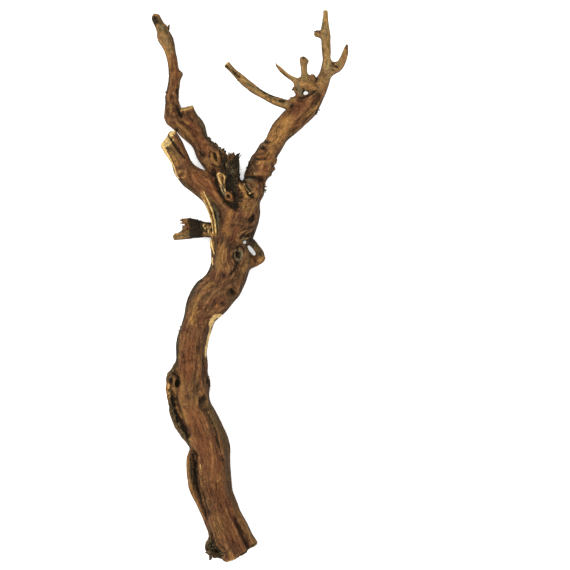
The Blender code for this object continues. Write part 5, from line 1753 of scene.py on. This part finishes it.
def woodMaterial(name, figure, ragged, wear):
    material = bpy.data.materials.new(name)
    material.use_nodes = True
    desk = NodeDesk(material.node_tree)
    shader = material.node_tree.nodes["Principled BSDF"].inputs
    where = desk.scaled(desk.add("ShaderNodeTexCoord").outputs["Object"], (1000, 1000, 1000))
    *grains, shares = [desk.attribute(label) for label in ("grainA", "grainB", "grainC", "grainShare")]
    look = desk.group(figure, **dict(zip(("Grain A", "Grain B", "Grain C", "Share"), (*grains, shares))))
    texture = {
        label: desk.cloud(where, (size,) * 3, *settings)
        for label, (size, *settings) in finish["textures"].items()
    }
    texture["streak"] = look["Streak"]
    texture["edge"] = desk.reckon("MULTIPLY_ADD", look["Streak"], 0.5, desk.times(texture["speckle"], 0.5))
    mask = {}
    for label, group in toneLayers.items():
        mask.update(zip(group, desk.parts(desk.attribute(label))))
    for tone, (label, raggedness, softness) in finish["ragged"].items():
        edge = {"Texture": texture[label], "Raggedness": raggedness, "Softness": softness}
        mask[tone] = desk.group(ragged, Mask=mask[tone], **edge)["Mask"]
    # painted shade in hollows and down the sides, and raised places lighter from wear and painted highlight
    effects = desk.group(wear, Form=desk.attribute("form"), Texture=texture["edge"])

    colour = sandedWood(desk, mask, texture, effects)
    colour = withBark(desk, colour, mask, texture, effects)
    colour = withSawnEnds(desk, colour, mask, texture, grains, shares)
    colour = withFineLines(desk, colour, mask, texture, look)
    desk.feed(shader["Base Color"], colour)

    darkPlaces = desk.reckon("MAXIMUM", mask["bark"], mask["black"])
    rough = desk.step(look["Fibre"], *finish["roughness"])
    rough = desk.reckon("ADD", rough, desk.times(darkPlaces, finish["rougherDark"]), clamp=True)
    rough = desk.reckon("SUBTRACT", rough, desk.times(effects["WearAndHighlight"], finish["smootherWear"]))
    desk.feed(shader["Roughness"], rough)
    shader["Specular IOR Level"].default_value = finish["shine"]

    bump = finish["bump"]
    height = desk.times(look["Streak"], bump["streak"])
    height = desk.reckon("MULTIPLY_ADD", look["Fibre"], bump["fibre"], height)
    height = desk.reckon("SUBTRACT", height, desk.times(look["Pore"], bump["pore"]))
    height = desk.reckon("SUBTRACT", height, desk.times(look["Check"], bump["check"]))
    height = desk.reckon("ADD", height, desk.times(desk.times(darkPlaces, texture["crumb"]), bump["dark"]))
    values = {"Height": height, "Strength": finish["bumpStrength"], "Distance": finish["bumpHeight"]}
    desk.feed(shader["Normal"], desk.add("ShaderNodeBump", values).outputs[0])
    return material


setUpCamera()
setUpLights()
layPaper()
print("grapevine wood: studio ready")
wood = buildSkin()
sandedVineWood = woodMaterial("sandedVineWood", figureGroup(strandGroup()), raggedGroup(), shadeAndWearGroup())
torn = buildSplinters(wood)
thinUnderside(wood)
for piece in (wood, torn):
    piece.data.materials.clear()
    piece.data.materials.append(sandedVineWood)
    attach(piece, "root")
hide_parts("grapevine_wood")

print("grapevine wood: done")
